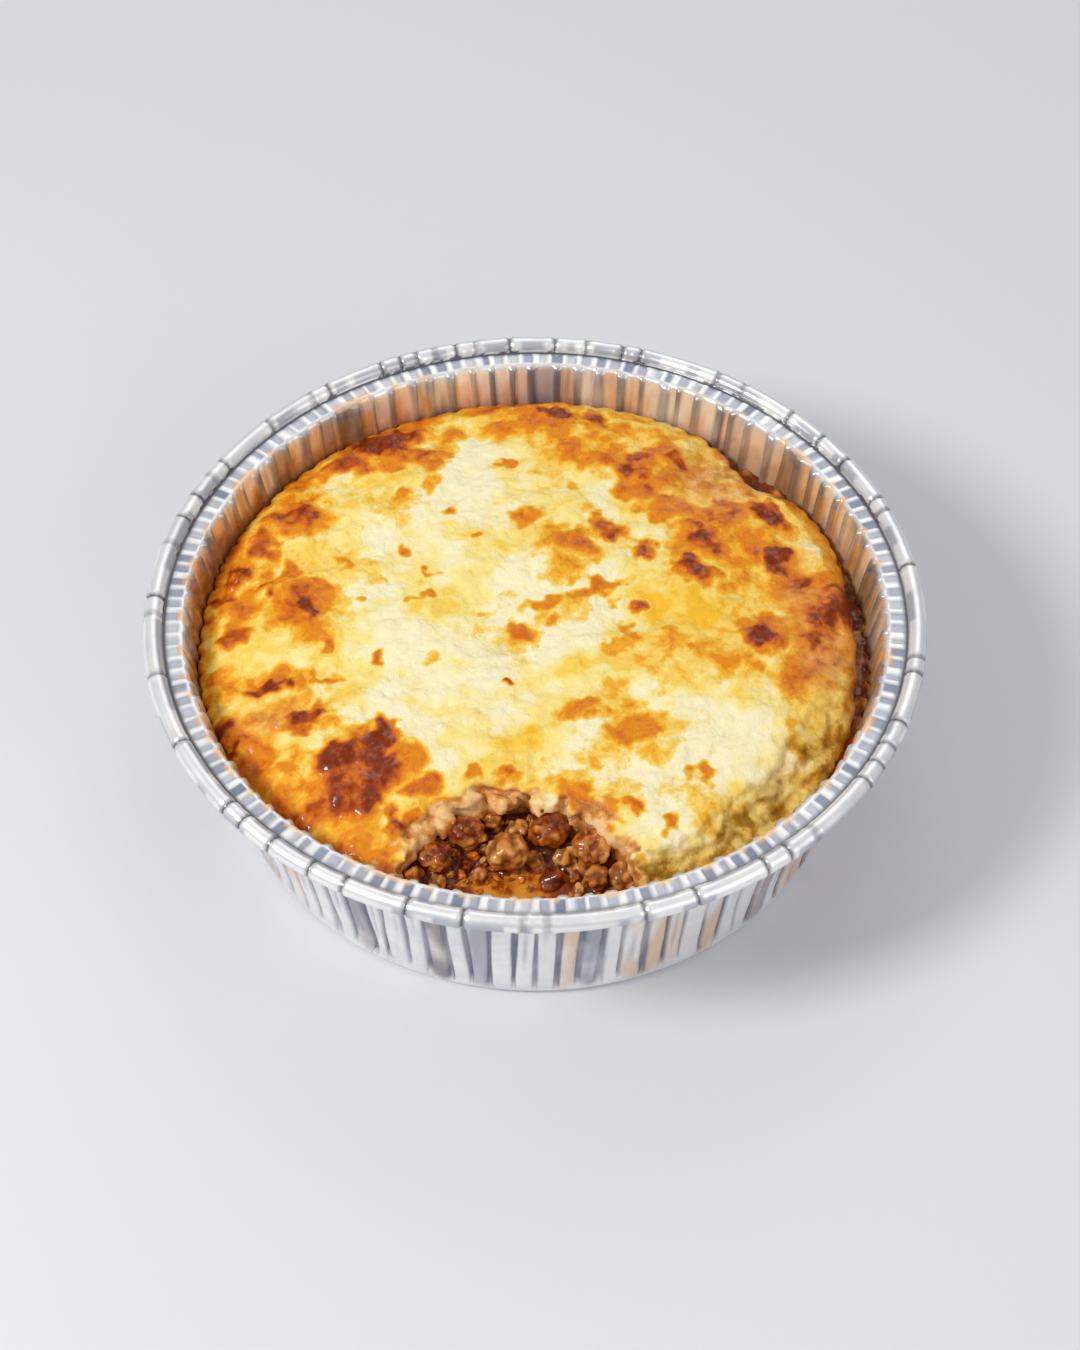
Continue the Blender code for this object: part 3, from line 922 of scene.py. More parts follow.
# Browned spots, in the same form
BROWNED = (
    (-36, -34, 5, 6, -20, 0.92), (-44, -40, 7, 5.5, 15, 0.92), (-36, -42, 6, 5, 0, 0.84),
    (-39, -50, 8, 5, 10, 0.8), (-50, -53, 9, 5, 42, 0.74), (-30, -40, 6, 6, 0, 0.6),
    (-39, -43, 11, 11, 20, 0.76), (-24, -48, 5, 4, 0, 0.62), (-30, -57, 4.5, 3.2, 0, 0.8),
    (-56, -56, 11, 4, 48, 0.7), (-43, -65, 8, 4, 30, 0.66),
    (-54, 6, 9, 7, 30, 0.7), (-52, 5, 4.5, 3, 0, 0.92), (-57, 16, 3.5, 5.5, 0, 0.66),
    (-61, 12, 3, 3, 0, 0.78), (-58, 33, 8, 7, 40, 0.74), (-55, 36, 4, 4, 0, 0.84),
    (-71, 14, 3.5, 10, -10, 0.84), (-70, -3, 4, 5, 0, 0.7), (-60, -18, 5, 3.6, 10, 0.9),
    (-53, -27, 6, 3.6, 35, 0.78), (-70, -33, 4, 9, 25, 0.92), (-64, 24, 4, 6, 20, 0.7),
    (-36, 62, 11, 4.5, 25, 0.86), (-47, 53, 7, 4, 40, 0.8), (-29, 56, 5, 3, 20, 0.7),
    (5, 70, 5.5, 3.2, 0, 0.88), (15, 69, 5, 3.5, 0, 0.76), (7, 57, 5, 4, 20, 0.64),
    (25, 54, 5, 3, 0, 0.72), (34, 54, 4, 3.4, 0, 0.84), (25, 43, 6, 3, 0, 0.66),
    (32, 38, 7, 4, -20, 0.62), (18, 29, 5.5, 3.8, -30, 0.76), (24, 22, 3, 2.5, 0, 0.76),
    (8, 25, 9, 5, -20, 0.62), (-1, 33, 4, 3, 0, 0.56), (36, 16, 7, 5, -10, 0.92),
    (40, 26, 8, 5, -20, 0.74), (55, 36, 7, 4, -30, 0.84), (57, 19, 4.5, 5.5, 0, 0.92),
    (71, 8, 4, 12, 5, 0.78), (52, -4, 7, 5, -20, 0.84), (66, 4, 5, 9, 0, 0.66),
    (66, -14, 6, 7, 0, 0.64), (60, 14, 8, 10, 0, 0.6), (14, 10, 8, 2.4, 28, 0.62),
    (3, 6, 6, 2, 10, 0.52), (-4, -3, 4.5, 3, -20, 0.64), (25, 5, 2.8, 2.4, 0, 0.74),
    (10, -26, 7, 3.6, 10, 0.56), (22, -31, 8, 5, 30, 0.58), (22, -52, 3.5, 2.6, 0, 0.66),
    (37, -44, 2.6, 2.6, 0, 0.54), (30, -57, 3, 2.6, 0, 0.55), (-45, 18, 5, 1.8, -25, 0.48),
    (-21, 36, 2.4, 2, 0, 0.6), (-15, 26, 2, 2, 0, 0.6), (-30, 23, 2.4, 2.6, 0, 0.56),
    (-26, 17, 1.8, 1.5, 0, 0.58), (-26, 8, 3.2, 1.6, 10, 0.5), (-38, 7, 1.8, 1.3, 0, 0.5),
    (-47, -7, 2.6, 2.4, 0, 0.64), (-36, -9, 3, 1.4, 0, 0.62), (-48, -16, 3.4, 2, -20, 0.66),
    (-7, -18, 1.8, 1.0, -10, 0.78), (8, -50, 5, 3.4, 0, 0.62), (15, -57, 4, 6, 20, 0.56),
    (-6, -43, 3, 2.4, 0, 0.6), (-9, 52, 3, 2.6, 50, 0.58), (40, 46, 6, 4, 0, 0.56),
)
print(len(WARMED), "warm zones and", len(BROWNED), "browned spots")


# %% Mash: the browning map
FLECKS = 230
FLECK_REACH = 74.0


def browning_map():
    """How browned the mash is: 0 for cream, about 0.5 for gold, 1 for dark brown."""
    amount = np.zeros_like(map_x)
    warm_places = bent(6.0, 11.0, 101)
    for *shape, strength in WARMED:
        amount = np.maximum(amount, strength * smoothstep(1.35, 0.45, ellipse(warm_places, *shape)))
    clumps = layered_noise(map_spots, 6.5, 105, 4)
    amount = amount * np.clip(0.86 + 0.75 * clumps, 0.15, 1.3)
    spot_places = bent(2.6, 5.5, 121)
    for *shape, strength in BROWNED:
        amount = np.maximum(amount, strength * smoothstep(1.42, 0.42, ellipse(spot_places, *shape)))
    chance = np.random.default_rng(43)
    fleck_places = bent(1.2, 2.6, 141)
    warmth = amount.copy()
    for fleck_x, fleck_y in chance.uniform(-FLECK_REACH, FLECK_REACH, (FLECKS, 2)):
        here = float(read_map(warmth, np.array([fleck_x]), np.array([fleck_y]))[0])
        wide = chance.uniform(0.8, 2.3) * (1 + 0.7 * here)
        shape = (fleck_x, fleck_y, wide * chance.uniform(1.0, 1.9), wide, chance.uniform(0, 180))
        strength = chance.uniform(0.26, 0.44) + 0.4 * here
        if chance.random() < 0.25 + here:
            amount = np.maximum(amount, strength * smoothstep(1.3, 0.6, ellipse(fleck_places, *shape)))
    return np.clip(amount, 0, 1)


brown_map = browning_map()
on_mash = np.hypot(map_x, map_y) < FLECK_REACH
print("share of the mash that is more than gold:", round(float((brown_map[on_mash] > 0.5).mean()), 2))


# %% Mash: outline and terrace
# Where the outline runs out to the dish or falls back: angle and half width in degrees, distance
BAYS = (
    (44, 8, -5.0), (12, 20, -1.5), (80, 14, 1.6), (108, 8, -1.8), (144, 12, 1.0), (222, 30, 1.4),
)


def degrees_round(x, y):
    """Angle round the dish in degrees, from -180 to 180."""
    return np.degrees(np.arctan2(y, x))


def mash_edge(turn):
    """Radius of the mash's lobed outline at an angle in radians."""
    radius = MASH_RADIUS + 0.3 * np.sin(7 * turn + 2.0)
    for middle, half_width, reach in BAYS:
        radius = radius + reach * near_turn(np.degrees(turn), middle, half_width)
    rim = np.stack([MASH_RADIUS * np.cos(turn), MASH_RADIUS * np.sin(turn), 0 * turn], axis=-1)
    return radius + 0.9 * layered_noise(rim, 7.0, 31) + 1.6 * (0.42 - pebbles(rim, 6.5, 33))


def terrace_drop(x, y):
    """How far the mash has slumped on its front right side: three ragged steps down to the dish."""
    spots = flat(x, y)
    turn = degrees_round(x, y)
    side = smoothstep(-10, -30, turn) * smoothstep(-78, -68, turn)
    away = np.hypot(x, y) + 2.2 * layered_noise(spots, 6.0, 151) + 2.4 * (0.5 - pebbles(spots, 4.4, 153))
    first = 66.5 + 2.0 * smoothstep(-42, -18, turn)
    steps = [smoothstep(first + out, first + out + 0.7, away) for out in (0.0, 3.0, 5.8)]
    return side * (1.5 * steps[0] + 1.9 * steps[1] + 1.7 * steps[2])


edge_turns = np.linspace(-math.pi, math.pi, 90)
edge_low, edge_high = mash_edge(edge_turns).min(), mash_edge(edge_turns).max()
print("mash reaches out", round(float(edge_low), 1), "to", round(float(edge_high), 1), "mm")


# %% Mash: height
# Broad mounds and hollows: x, y, radius, height
MOUNDS = (
    (-41, -40, 15, 1.5), (-54, 7, 10, 1.0), (-57, 33, 11, 0.9), (52, -6, 12, 1.3), (35, 17, 12, 1.0),
    (8, 24, 14, 0.9), (30, 52, 14, 0.7), (2, 66, 12, 1.2), (45, 54, 12, -3.0), (-9, -11, 14, -0.8),
    (22, 36, 9, -0.8), (-24, 62, 8, -1.0), (60, 38, 6, 1.0), (70, 6, 8, 1.0),
)
SHOULDER = 41.5                    # height of the mash at its edge
CROWN = 45.0                       # height of the mash at its middle


def height_map():
    """Top of the mash: crown, mounds, spoon strokes, terraces, blisters and fine grain."""
    away = np.clip(np.hypot(map_x, map_y) / MASH_RADIUS, 0, 1)
    height = CROWN - (CROWN - SHOULDER) * away**3
    for mound_x, mound_y, size, rise in MOUNDS:
        height += rise * mound(map_x, map_y, mound_x, mound_y, size, size)
    strokes = flat(0.35 * (map_x * 0.94 + map_y * 0.34), map_y * 0.94 - map_x * 0.34)
    height += 0.5 * layered_noise(map_spots, 13.0, 51) + 0.6 * layered_noise(strokes, 4.2, 53)
    terrace = layered_noise(map_spots, 14.0, 57, 4) * 3.4
    step = terrace - np.floor(terrace)
    height += 0.7 * (np.floor(terrace) + smoothstep(0.8, 1.0, step) - terrace * 0.7)
    outer = smoothstep(0.72, 0.95, away)
    height += outer * (1.3 * (0.5 - pebbles(map_spots, 6.0, 59)) + 0.5 * layered_noise(map_spots, 4.0, 60))
    blister = smoothstep(0.35, 0.9, brown_map)
    height += blister * (0.4 + 1.0 * (0.55 - pebbles(map_spots, 3.0, 61)))
    height += blister**2 * 1.5 * (0.55 - pebbles(map_spots, 5.6, 63))
    height += 0.4 * smoothstep(0.2, 0.5, brown_map) * (0.5 - pebbles(map_spots, 1.7, 67))
    height += 0.2 * layered_noise(map_spots, 1.7, 71)
    return height - terrace_drop(map_x, map_y)


top_map = height_map()
top_low, top_high = float(top_map[on_mash].min()), float(top_map[on_mash].max())
print("mash top from", round(top_low, 1), "to", round(top_high, 1))


# %% Mash: the torn arch and its lumps
def scoop_edge(spots):
    """Distance outside the scooped arch, which narrows towards the meat: below zero in the hollow."""
    narrower = ARCH_NARROWS * smoothstep(MASH_FLOOR + 9.0, MASH_FLOOR, spots[..., 2])
    return np.linalg.norm(spots[..., :2] - SCOOP, axis=-1) - (SCOOP_RADIUS - narrower)


# Torn lumps that stand out at both ends of the arch: x, y, height, radius
END_LUMPS = (
    (-29.5, -62.0, 37.4, 4.0), (-25.8, -57.6, 38.4, 3.4), (-33.0, -65.5, 38.4, 3.4),
    (-21.0, -53.5, 38.6, 3.0), (20.6, -60.2, 37.6, 3.4), (24.2, -65.0, 37.0, 3.8),
    (17.0, -56.4, 39.2, 2.8), (-31.0, -67.5, 35.8, 2.8),
)


SMALL_TORN_LUMPS = 64


def torn_lumps():
    """Middles and radii of the lumps of torn mash along the arch."""
    chance = np.random.default_rng(61)
    lumps = [(np.array(place), radius) for *place, radius in END_LUMPS]
    for _ in range(SMALL_TORN_LUMPS):
        turn = math.radians(chance.uniform(14, 166))
        out = SCOOP_RADIUS + chance.uniform(-3.0, 0.6)
        level = chance.uniform(MASH_FLOOR + 0.4, MASH_FLOOR + 7.5)
        place = np.array([SCOOP[0] + out * math.cos(turn), SCOOP[1] + out * math.sin(turn), level])
        lumps.append((place, chance.uniform(0.8, 3.0)))
    return lumps


TORN_LUMPS = torn_lumps()
print("torn lumps along the arch:", len(TORN_LUMPS))


# %% Mash: the field and its skin
MASH_STEP = 0.575                  # spacing of the grid that the mash is sculpted in
MASH_REACH = 79.0                  # the grid's reach to each side
TOUCH_LEVEL = 39.5                 # below this the mash spreads out to the foil


def touching(turn):
    """1 where the mash's foot lies against the foil, less on the right where it shrank away."""
    degrees = np.degrees(turn)
    gap = near_turn(degrees, -4, 24) + 0.8 * near_turn(degrees, 44, 9)
    return np.clip(1.0 - gap, 0.0, 1.0)


def mash_field():
    """Grid corner and field of the whole mash layer."""
    low = np.array([-MASH_REACH, -MASH_REACH, MASH_FLOOR - 2 * MASH_STEP])
    spots = grid(low, (MASH_REACH, MASH_REACH, mash_high[2] + 3.0), MASH_STEP)
    x, y = spots[:, :, 0, 0], spots[:, :, 0, 1]
    height = spots[..., 2]
    top = read_map(top_map, x, y)[:, :, None] - height
    turn = np.arctan2(y, x)
    foil_side = pleated_inside(turn[:, :, None], height) - 0.4
    edge = np.minimum(mash_edge(turn)[:, :, None], foil_side)
    foot = smoothstep(TOUCH_LEVEL + 1.6, TOUCH_LEVEL - 1.6, height) * touching(turn)[:, :, None]
    edge = edge + (foil_side - edge) * foot
    field = soft_min(top, edge - np.hypot(x, y)[:, :, None], 3.2)
    torn = scoop_edge(spots)
    near = np.abs(torn) < 7.0
    around_arch = spots[near]
    torn[near] += 1.6 * layered_noise(around_arch, 4.4, 83) + 1.5 * (0.5 - pebbles(around_arch, 3.4, 87))
    field = soft_min(field, torn, 1.0)
    lumpy = field[near]
    knobby = 0.8 * layered_noise(around_arch, 1.9, 89, 2)
    under_lip = read_map(top_map, around_arch[:, 0], around_arch[:, 1]) - 0.5 - around_arch[:, 2]
    torn_bend = np.stack([1.5 * soft_noise(around_arch, 3.0, seed) for seed in (161, 162, 163)], axis=1)
    for middle, radius in TORN_LUMPS:
        ball = radius - np.linalg.norm(around_arch + torn_bend - middle, axis=1) + knobby
        lumpy = soft_max(lumpy, np.minimum(ball, under_lip), 0.6)
    field[near] = lumpy
    field = np.minimum(field, edge - np.hypot(x, y)[:, :, None])
    return low, np.minimum(field, height - MASH_FLOOR)


mash_corner, mash_numbers = mash_field()
mash_points, mash_faces = skin(mash_numbers, mash_corner, MASH_STEP)
mash_points = relax(mash_points, mash_faces, 2)
hidden = np.all(mash_points[mash_faces][:, :, 2] < MASH_FLOOR + 0.35, axis=1)
mash_points, mash_faces = keep_used(mash_points, mash_faces[~hidden])
print("mash skin", len(mash_points), "points, lowest", round(mash_points[:, 2].min(), 2))


# %% [markdown]
# ### Mash as a material
#
# One colour ramp runs from cream through butter yellow and gold to deep brown, read by the
# browning value with a little fine mottle added so that no edge is clean. The ramp goes in
# short steps with level stretches between them, because real browning forms patches with
# definite edges. Mash under heat goes pale, yellow, orange, brown, in that order, so every
# dark spot gets its golden ring for free. Torn mash is a tan of its own, soaked
# brown by the gravy at its foot. Browned spots are glossier than the rest.

# %% Mash material
def mash_material():
    """Creamy mash that browns by its brown value, is tan where it is torn, and olive-brown where shade is
    painted on.
    """
    material, tree, shader = new_material("browned_mash")
    brown = add_value(tree, "brown")
    torn = add_value(tree, "torn")
    fine = add_range(tree, add_mottle(tree, 2.2, 2.0, 2.6), 0.0, 1.0, -0.08, 0.08)
    finer = add_range(tree, add_mottle(tree, 0.9, 35.0, 2.6), 0.0, 1.0, -0.045, 0.045)
    level = add_math(tree, "ADD", brown, add_math(tree, "ADD", fine, finer), clamp=True)
    baked = add_ramp(tree, level, (
        (0.13, tone(252, 228, 148)), (0.17, tone(251, 216, 114)), (0.28, tone(250, 204, 86)),
        (0.32, tone(246, 184, 56)), (0.42, tone(242, 166, 38)), (0.46, tone(230, 144, 28)),
        (0.56, tone(230, 136, 20)), (0.60, tone(220, 120, 16)), (0.70, tone(206, 104, 12)),
        (0.75, tone(186, 84, 8)), (0.86, tone(160, 62, 4)), (0.95, tone(128, 44, 2)),
    ))
    ripple = add_range(tree, add_mottle(tree, 5.0, 31.0, 2.6), 0.0, 1.0, -0.16, 0.16)
    butter = add_math(tree, "ADD", add_value(tree, "butter"), ripple, clamp=True)
    creamy = add_ramp(tree, butter, (
        (0.0, tone(254, 242, 200)), (0.24, tone(253, 236, 172)), (0.3, tone(253, 231, 150)),
        (0.5, tone(252, 226, 132)), (0.56, tone(252, 216, 104)), (0.76, tone(251, 206, 78)),
        (0.84, tone(250, 192, 50)),
    ))
    pale_share = add_range(tree, level, 0.1, 0.22, 1.0, 0.0)
    top_colour = add_mix(tree, pale_share, baked, creamy)
    # Painted olive-brown shade, where the mash lies in shade.
    dull_tone = add_ramp(tree, add_mottle(tree, 5.0, 7.0, 3.4), (
        (0.25, tone(158, 114, 28)), (0.45, tone(190, 146, 46)), (0.55, tone(214, 174, 78)),
        (0.75, tone(236, 206, 118)),
    ))
    dulled = add_mix(tree, add_value(tree, "dull"), top_colour, dull_tone)
    beige = add_ramp(tree, add_mottle(tree, 4.5, 6.0, 3.4), (
        (0.2, tone(190, 118, 54)), (0.4, tone(216, 148, 76)), (0.5, tone(230, 168, 98)),
        (0.75, tone(244, 202, 142)),
    ))
    soaked = add_mix(tree, add_value(tree, "soaked"), beige, tone(152, 84, 28))
    tree.links.new(add_mix(tree, torn, dulled, soaked), shader.inputs["Base Color"])
    tree.links.new(add_range(tree, level, 0.3, 0.8, 0.55, 0.32), shader.inputs["Roughness"])
    fatty = add_range(tree, level, 0.5, 0.78, 0.0, 0.8)
    beads = add_mottle(tree, 1.8, 33.0, 9.0)
    tree.links.new(add_math(tree, "MULTIPLY", fatty, beads), shader.inputs["Coat Weight"])
    set_inputs(shader, {
        "Coat Roughness": 0.07,
        "Specular IOR Level": 0.16,
        "Subsurface Weight": 0.1,
        "Subsurface Radius": (0.0025, 0.0014, 0.0006),
        "Subsurface Scale": 1.0,
    })
    add_bump(tree, shader, add_mottle(tree, 1.3, 4.0, 2.4), 0.5, 0.4)
    return material


mash_paint = mash_material()
print("the mash material has", len(mash_paint.node_tree.nodes), "nodes")


# %% Mash: soft numbers on its points
# Where the cream is yellower, or paler below zero: x, y, radius, strength
BUTTERED = (
    (36, -6, 16, 0.6), (8, 4, 15, -0.5), (16, -44, 14, -0.42), (-22, -22, 20, -0.4),
    (47, -38, 18, -0.5), (-24, 36, 20, -0.3),
)
# Where the mash is baked to a plain tan: x, y, half width, half depth, strength
TANNED = ((46, 50, 11, 11, 0.75), (-60, -27, 6, 6, 0.5), (66, 2, 8, 24, 0.35))


def mash_values(points):
    """Browning, butter yellow, torn share, gravy soak and painted olive shade at each point of the mash.
    """
    x, y, z = points.T
    spots = flat(x, y)
    brown = read_map(brown_map, x, y)
    knobs = smoothstep(0.42, 0.12, pebbles(spots, 3.4, 167)) - 0.4
    brown = brown - 0.2 * smoothstep(0.62, 0.85, brown) * knobs
    depth = read_map(top_map, x, y) - z
    away = np.hypot(x, y)
    side = smoothstep(1.2, 4.0, depth)
    torn = smoothstep(2.6, 0.6, scoop_edge(points) + 1.2 * layered_noise(points, 3.0, 91))
    torn = torn * smoothstep(0.3, 1.0, depth + 0.5 * layered_noise(points, 2.5, 92))
    brown = brown + (0.08 + 0.14 * smoothstep(0.5, 0.8, brown)) * layered_noise(spots, 3.4, 93)
    outer_side = smoothstep(69.0, 74.5, away) * (1 - torn)
    brown = np.maximum(brown, outer_side * (0.42 + 0.34 * layered_noise(points, 7.0, 95)))
    brown = brown + 0.26 * outer_side * side
    # Painted olive shade on the slumped terrace, in the gap on the right and in a hollow near the middle.
    slumped = smoothstep(0.6, 2.2, terrace_drop(x, y)) * (1 - torn)
    dull = slumped * np.clip(0.85 + 0.5 * layered_noise(points, 5.0, 165), 0, 1)
    dull = np.maximum(dull, 0.7 * mound(x, y, 71, -22, 6, 14))
    dull = np.maximum(dull, 0.4 * smoothstep(0.9, 0.3, np.hypot((x + 8) / 8, (y + 8) / 3)))
    tanned = sum(strength * mound(x, y, *shape) for *shape, strength in TANNED)
    tanned *= np.clip(0.9 + 0.9 * layered_noise(spots, 6.0, 157), 0, 1.2) * smoothstep(0.8, 0.5, brown)
    butter = 0.42 + 0.45 * layered_noise(spots, 13.0, 97) + 0.24 * layered_noise(spots, 4.0, 99)
    for middle_x, middle_y, size, strength in BUTTERED:
        butter += strength * mound(x, y, middle_x, middle_y, size, size)
    foot = MASH_FLOOR + 2.6 + 1.6 * layered_noise(points, 4.0, 159)
    soaked = smoothstep(foot + 1.4, foot - 1.0, z)
    bare = np.clip(np.maximum(torn, tanned), 0, 1)
    return np.clip(brown, 0, 1), np.clip(butter, 0, 1), bare, 0.85 * soaked * torn, dull


mash_brown, mash_butter, mash_torn, mash_soaked, mash_dull = mash_values(mash_points)
make_piece(
    "spooned_mash", mash_points, mash_faces, mash_paint, "browned_mash", ["potato_topping"],
    brown=mash_brown, butter=mash_butter, torn=mash_torn, soaked=mash_soaked, dull=mash_dull,
)


# %% [markdown]
# ## Meat and gravy
#
# Under the mash the filling is one mass of fine mince set in gravy. Only two parts of it ever
# show: the floor of the hollow, and a ring of gravy that has boiled up between mash and foil.
# So the core is a round grid with close rings there. Its edge follows the pleats of the foil,
# point by point, and the relief of the hollow is what is too fine to be a loose crumb.

# %% Meat: height of the core
CREVICE = 34.5                     # level of the gravy that boiled up beside the mash
SCOOP_FLOOR = 28.6                 # the meat at the front of the hollow
CORE_EDGE = 76.4
HIDDEN_RING = 27.0                 # height of the last ring that the food above it hides
CLOSE_RINGS = 66
FAR_RINGS = 6
LUMP_BOXES = [corners(f"mince_lump_{number}") for number in range(1, 6)]
core_wall = foil_inside(CREVICE)
core_turns = np.arctan2(core_wall[:, 1], core_wall[:, 0])
core_reach = np.hypot(core_wall[:, 0], core_wall[:, 1]) - 0.12


def hollow_reach(x, y):
    """Distance inside the foot of the scooped arch: above zero in the hollow."""
    return SCOOP_RADIUS - ARCH_NARROWS - np.hypot(x - SCOOP[0], y - SCOOP[1])


def core_height(x, y):
    """Top of the meat's core: level under the mash, sloping and lumpy in the hollow."""
    spots = flat(x, y)
    reach = hollow_reach(x, y)
    open_share = smoothstep(0.0, 6.0, reach)
    height = MEAT_TOP - (MEAT_TOP - SCOOP_FLOOR) * smoothstep(0.5, 26.0, reach)
    lumps = 1.7 * (0.5 - pebbles(spots, 4.2, 111)) + 0.9 * (0.5 - pebbles(spots, 2.0, 113))
    lumps += 0.4 * layered_noise(spots, 1.3, 115, 2)
    height = height + open_share * (lumps - 0.5)
    for low, high in LUMP_BOXES:
        middle, half = (low + high) / 2, (high - low) / 2
        away = np.hypot(x - middle[0], y - middle[1]) / half[0]
        height = height + 0.5 * half[2] * np.exp(-((away / 1.15) ** 2))
    ring_share = smoothstep(72.5, 74.5, np.hypot(x, y)) * (1 - open_share)
    ring_level = CREVICE + 0.7 * layered_noise(spots, 6.0, 117) + 0.5 * (0.5 - pebbles(spots, 2.4, 119))
    ring_level = ring_level + 0.8 * smoothstep(76.0, 78.0, np.hypot(x, y))
    return height + ring_share * (ring_level - height)


front_level = float(core_height(np.zeros(1), np.full(1, -74.0))[0])
print("meat at the front of the hollow:", round(front_level, 1), "mm")


# %% Meat: rings of the core
def core_rings():
    """Rings of the core from the middle of its base up its side and in over its top."""
    rings = []
    for radius, height in ((BASE_RADIUS - 2.2, 1.1), (BASE_RADIUS - 0.6, 4.0)):
        rings.append([radius * np.cos(core_turns), radius * np.sin(core_turns), 0 * core_turns + height])
    side = foil_inside(HIDDEN_RING)
    rings.append([side[:, 0] * 0.996, side[:, 1] * 0.996, 0 * core_turns + HIDDEN_RING])
    for plain in (*np.linspace(CORE_EDGE, 38, CLOSE_RINGS), *np.linspace(36, 2, FAR_RINGS)):
        by_the_foil = smoothstep(72.0, CORE_EDGE, plain)
        radius = plain + (core_reach - CORE_EDGE) * by_the_foil
        x, y = radius * np.cos(core_turns), radius * np.sin(core_turns)
        level = core_height(x, y)
        narrower = 1.0 - by_the_foil * WALL_SLOPE * np.maximum(CREVICE - level, 0.0) / radius
        rings.append([x * narrower, y * narrower, level])
    return np.concatenate([np.array(ring).T for ring in rings]), len(rings)


core_points, core_ring_count = core_rings()
core_faces = round_faces(core_ring_count, around_count, 0).tolist()
core_faces.append(list(range(around_count))[::-1])
core_faces.append(list(range(len(core_points) - around_count, len(core_points))))
print("core has", core_ring_count, "rings; gravy beside the mash at", CREVICE)


# %% Meat materials
def meat_material(name, rough_low, rough_high, coat):
    """Minced meat wet with gravy: painted shade in its hollows, red-brown to tan by its roast value."""
    material, tree, shader = new_material(name)
    fine = add_range(tree, add_mottle(tree, 2.4, 12.0, 3.4), 0.0, 1.0, -0.22, 0.22)
    level = add_math(tree, "ADD", add_value(tree, "roast"), fine, clamp=True)
    colour = add_ramp(tree, level, (
        (0.0, tone(108, 36, 2)), (0.24, tone(140, 54, 4)), (0.3, tone(164, 76, 10)),
        (0.5, tone(184, 96, 20)), (0.56, tone(202, 118, 36)), (0.8, tone(218, 142, 60)),
        (1.0, tone(236, 180, 106)),
    ))
    # Painted shade in the pits and hollows of the meat.
    pitted = add_mix(tree, add_value(tree, "pit"), colour, tone(92, 32, 4))
    tree.links.new(pitted, shader.inputs["Base Color"])
    rough = add_range(tree, add_mottle(tree, 1.1, 14.0, 3.0), 0.0, 1.0, rough_low, rough_high)
    tree.links.new(rough, shader.inputs["Roughness"])
    wet = add_range(tree, add_mottle(tree, 2.2, 18.0, 8.0), 0.0, 1.0, 0.0, coat)
    tree.links.new(wet, shader.inputs["Coat Weight"])
    set_inputs(shader, {"Coat Roughness": 0.08, "Specular IOR Level": 0.2})
    add_bump(tree, shader, add_mottle(tree, 1.0, 16.0, 2.4), 0.5, 0.35)
    return material


core_meat = meat_material("gravy_bound_mince", 0.29, 0.45, 0.9)
crumb_meat = meat_material("mince_crumbs", 0.29, 0.5, 0.9)

core_x, core_y, _ = core_points.T
core_roast = 0.3 + 0.45 * layered_noise(core_points, 4.0, 121)
core_roast += 0.25 * smoothstep(70.0, 74.0, np.hypot(core_x, core_y))
core_roast -= 0.35 * mound(core_x, core_y, -18, -64, 9, 8)
# Painted shade between the lumps of the core and under the foot of the torn arch.
core_pit = smoothstep(0.3, 0.66, pebbles(flat(core_x, core_y), 4.2, 111))
core_hollow = hollow_reach(core_x, core_y)
core_pit = core_pit + 0.6 * smoothstep(5.0, 1.5, core_hollow) * (core_hollow > 0)
make_piece(
    "mince_core", core_points, core_faces, core_meat, "minced_meat", ["mince_filling"],
    roast=np.clip(core_roast, 0, 1), pit=0.8 * np.clip(core_pit, 0, 1),
)


# %% [markdown]
# ## Lumps and crumbs of mince
#
# Cooked mince is made of short soft strands that break into knobbly lumps. A lump here is a
# soft-edged union of a middle ball and many small balls scattered over it, taken
# through the same skin helper. The five large lumps stand for CAD nodes and are set to those
# nodes' boxes. The smaller crumbs are copies of a few such lumps, turned, scaled and joined
# into one mesh, and each is laid on the core where there is room.

# %% Lumps: a knobbly lump of radius 1
LUMP_REACH = 1.3                   # half width of the grid that a lump is sculpted in
SOFTNESS = 0.035                   # how softly its balls join


def knobbly_lump(seed, knobs, smallest, largest, step):
    """Points and faces of a lump of mince about 1 in radius, and how deep in its pits each point is, for
    painted shade.
    """
    chance = np.random.default_rng(seed)
    ways = chance.normal(size=(knobs, 3))
    ways /= np.linalg.norm(ways, axis=1, keepdims=True)
    middles = ways * chance.uniform(0.6, 0.78, (knobs, 1)) * np.array([1.0, 0.9, 0.84])
    sizes = chance.uniform(smallest, largest, knobs)
    spots = grid((-LUMP_REACH,) * 3, (LUMP_REACH,) * 3, step)
    total = np.exp((0.66 - np.linalg.norm(spots * np.array([1.0, 1.08, 1.16]), axis=-1)) / SOFTNESS)
    for middle, size in zip(middles, sizes):
        total += np.exp((size - np.linalg.norm(spots - middle, axis=-1)) / SOFTNESS)
    field = SOFTNESS * np.log(total) + 0.04 * soft_noise(spots, 0.2, seed)
    points, faces = skin(field, np.full(3, -LUMP_REACH), step)
    points = relax(points, faces, 1)
    # Points deep between the knobs get painted shade.
    away = np.linalg.norm(points / np.array([1.0, 0.92, 0.87]), axis=1)
    return points, faces, smoothstep(0.92, 0.72, away)


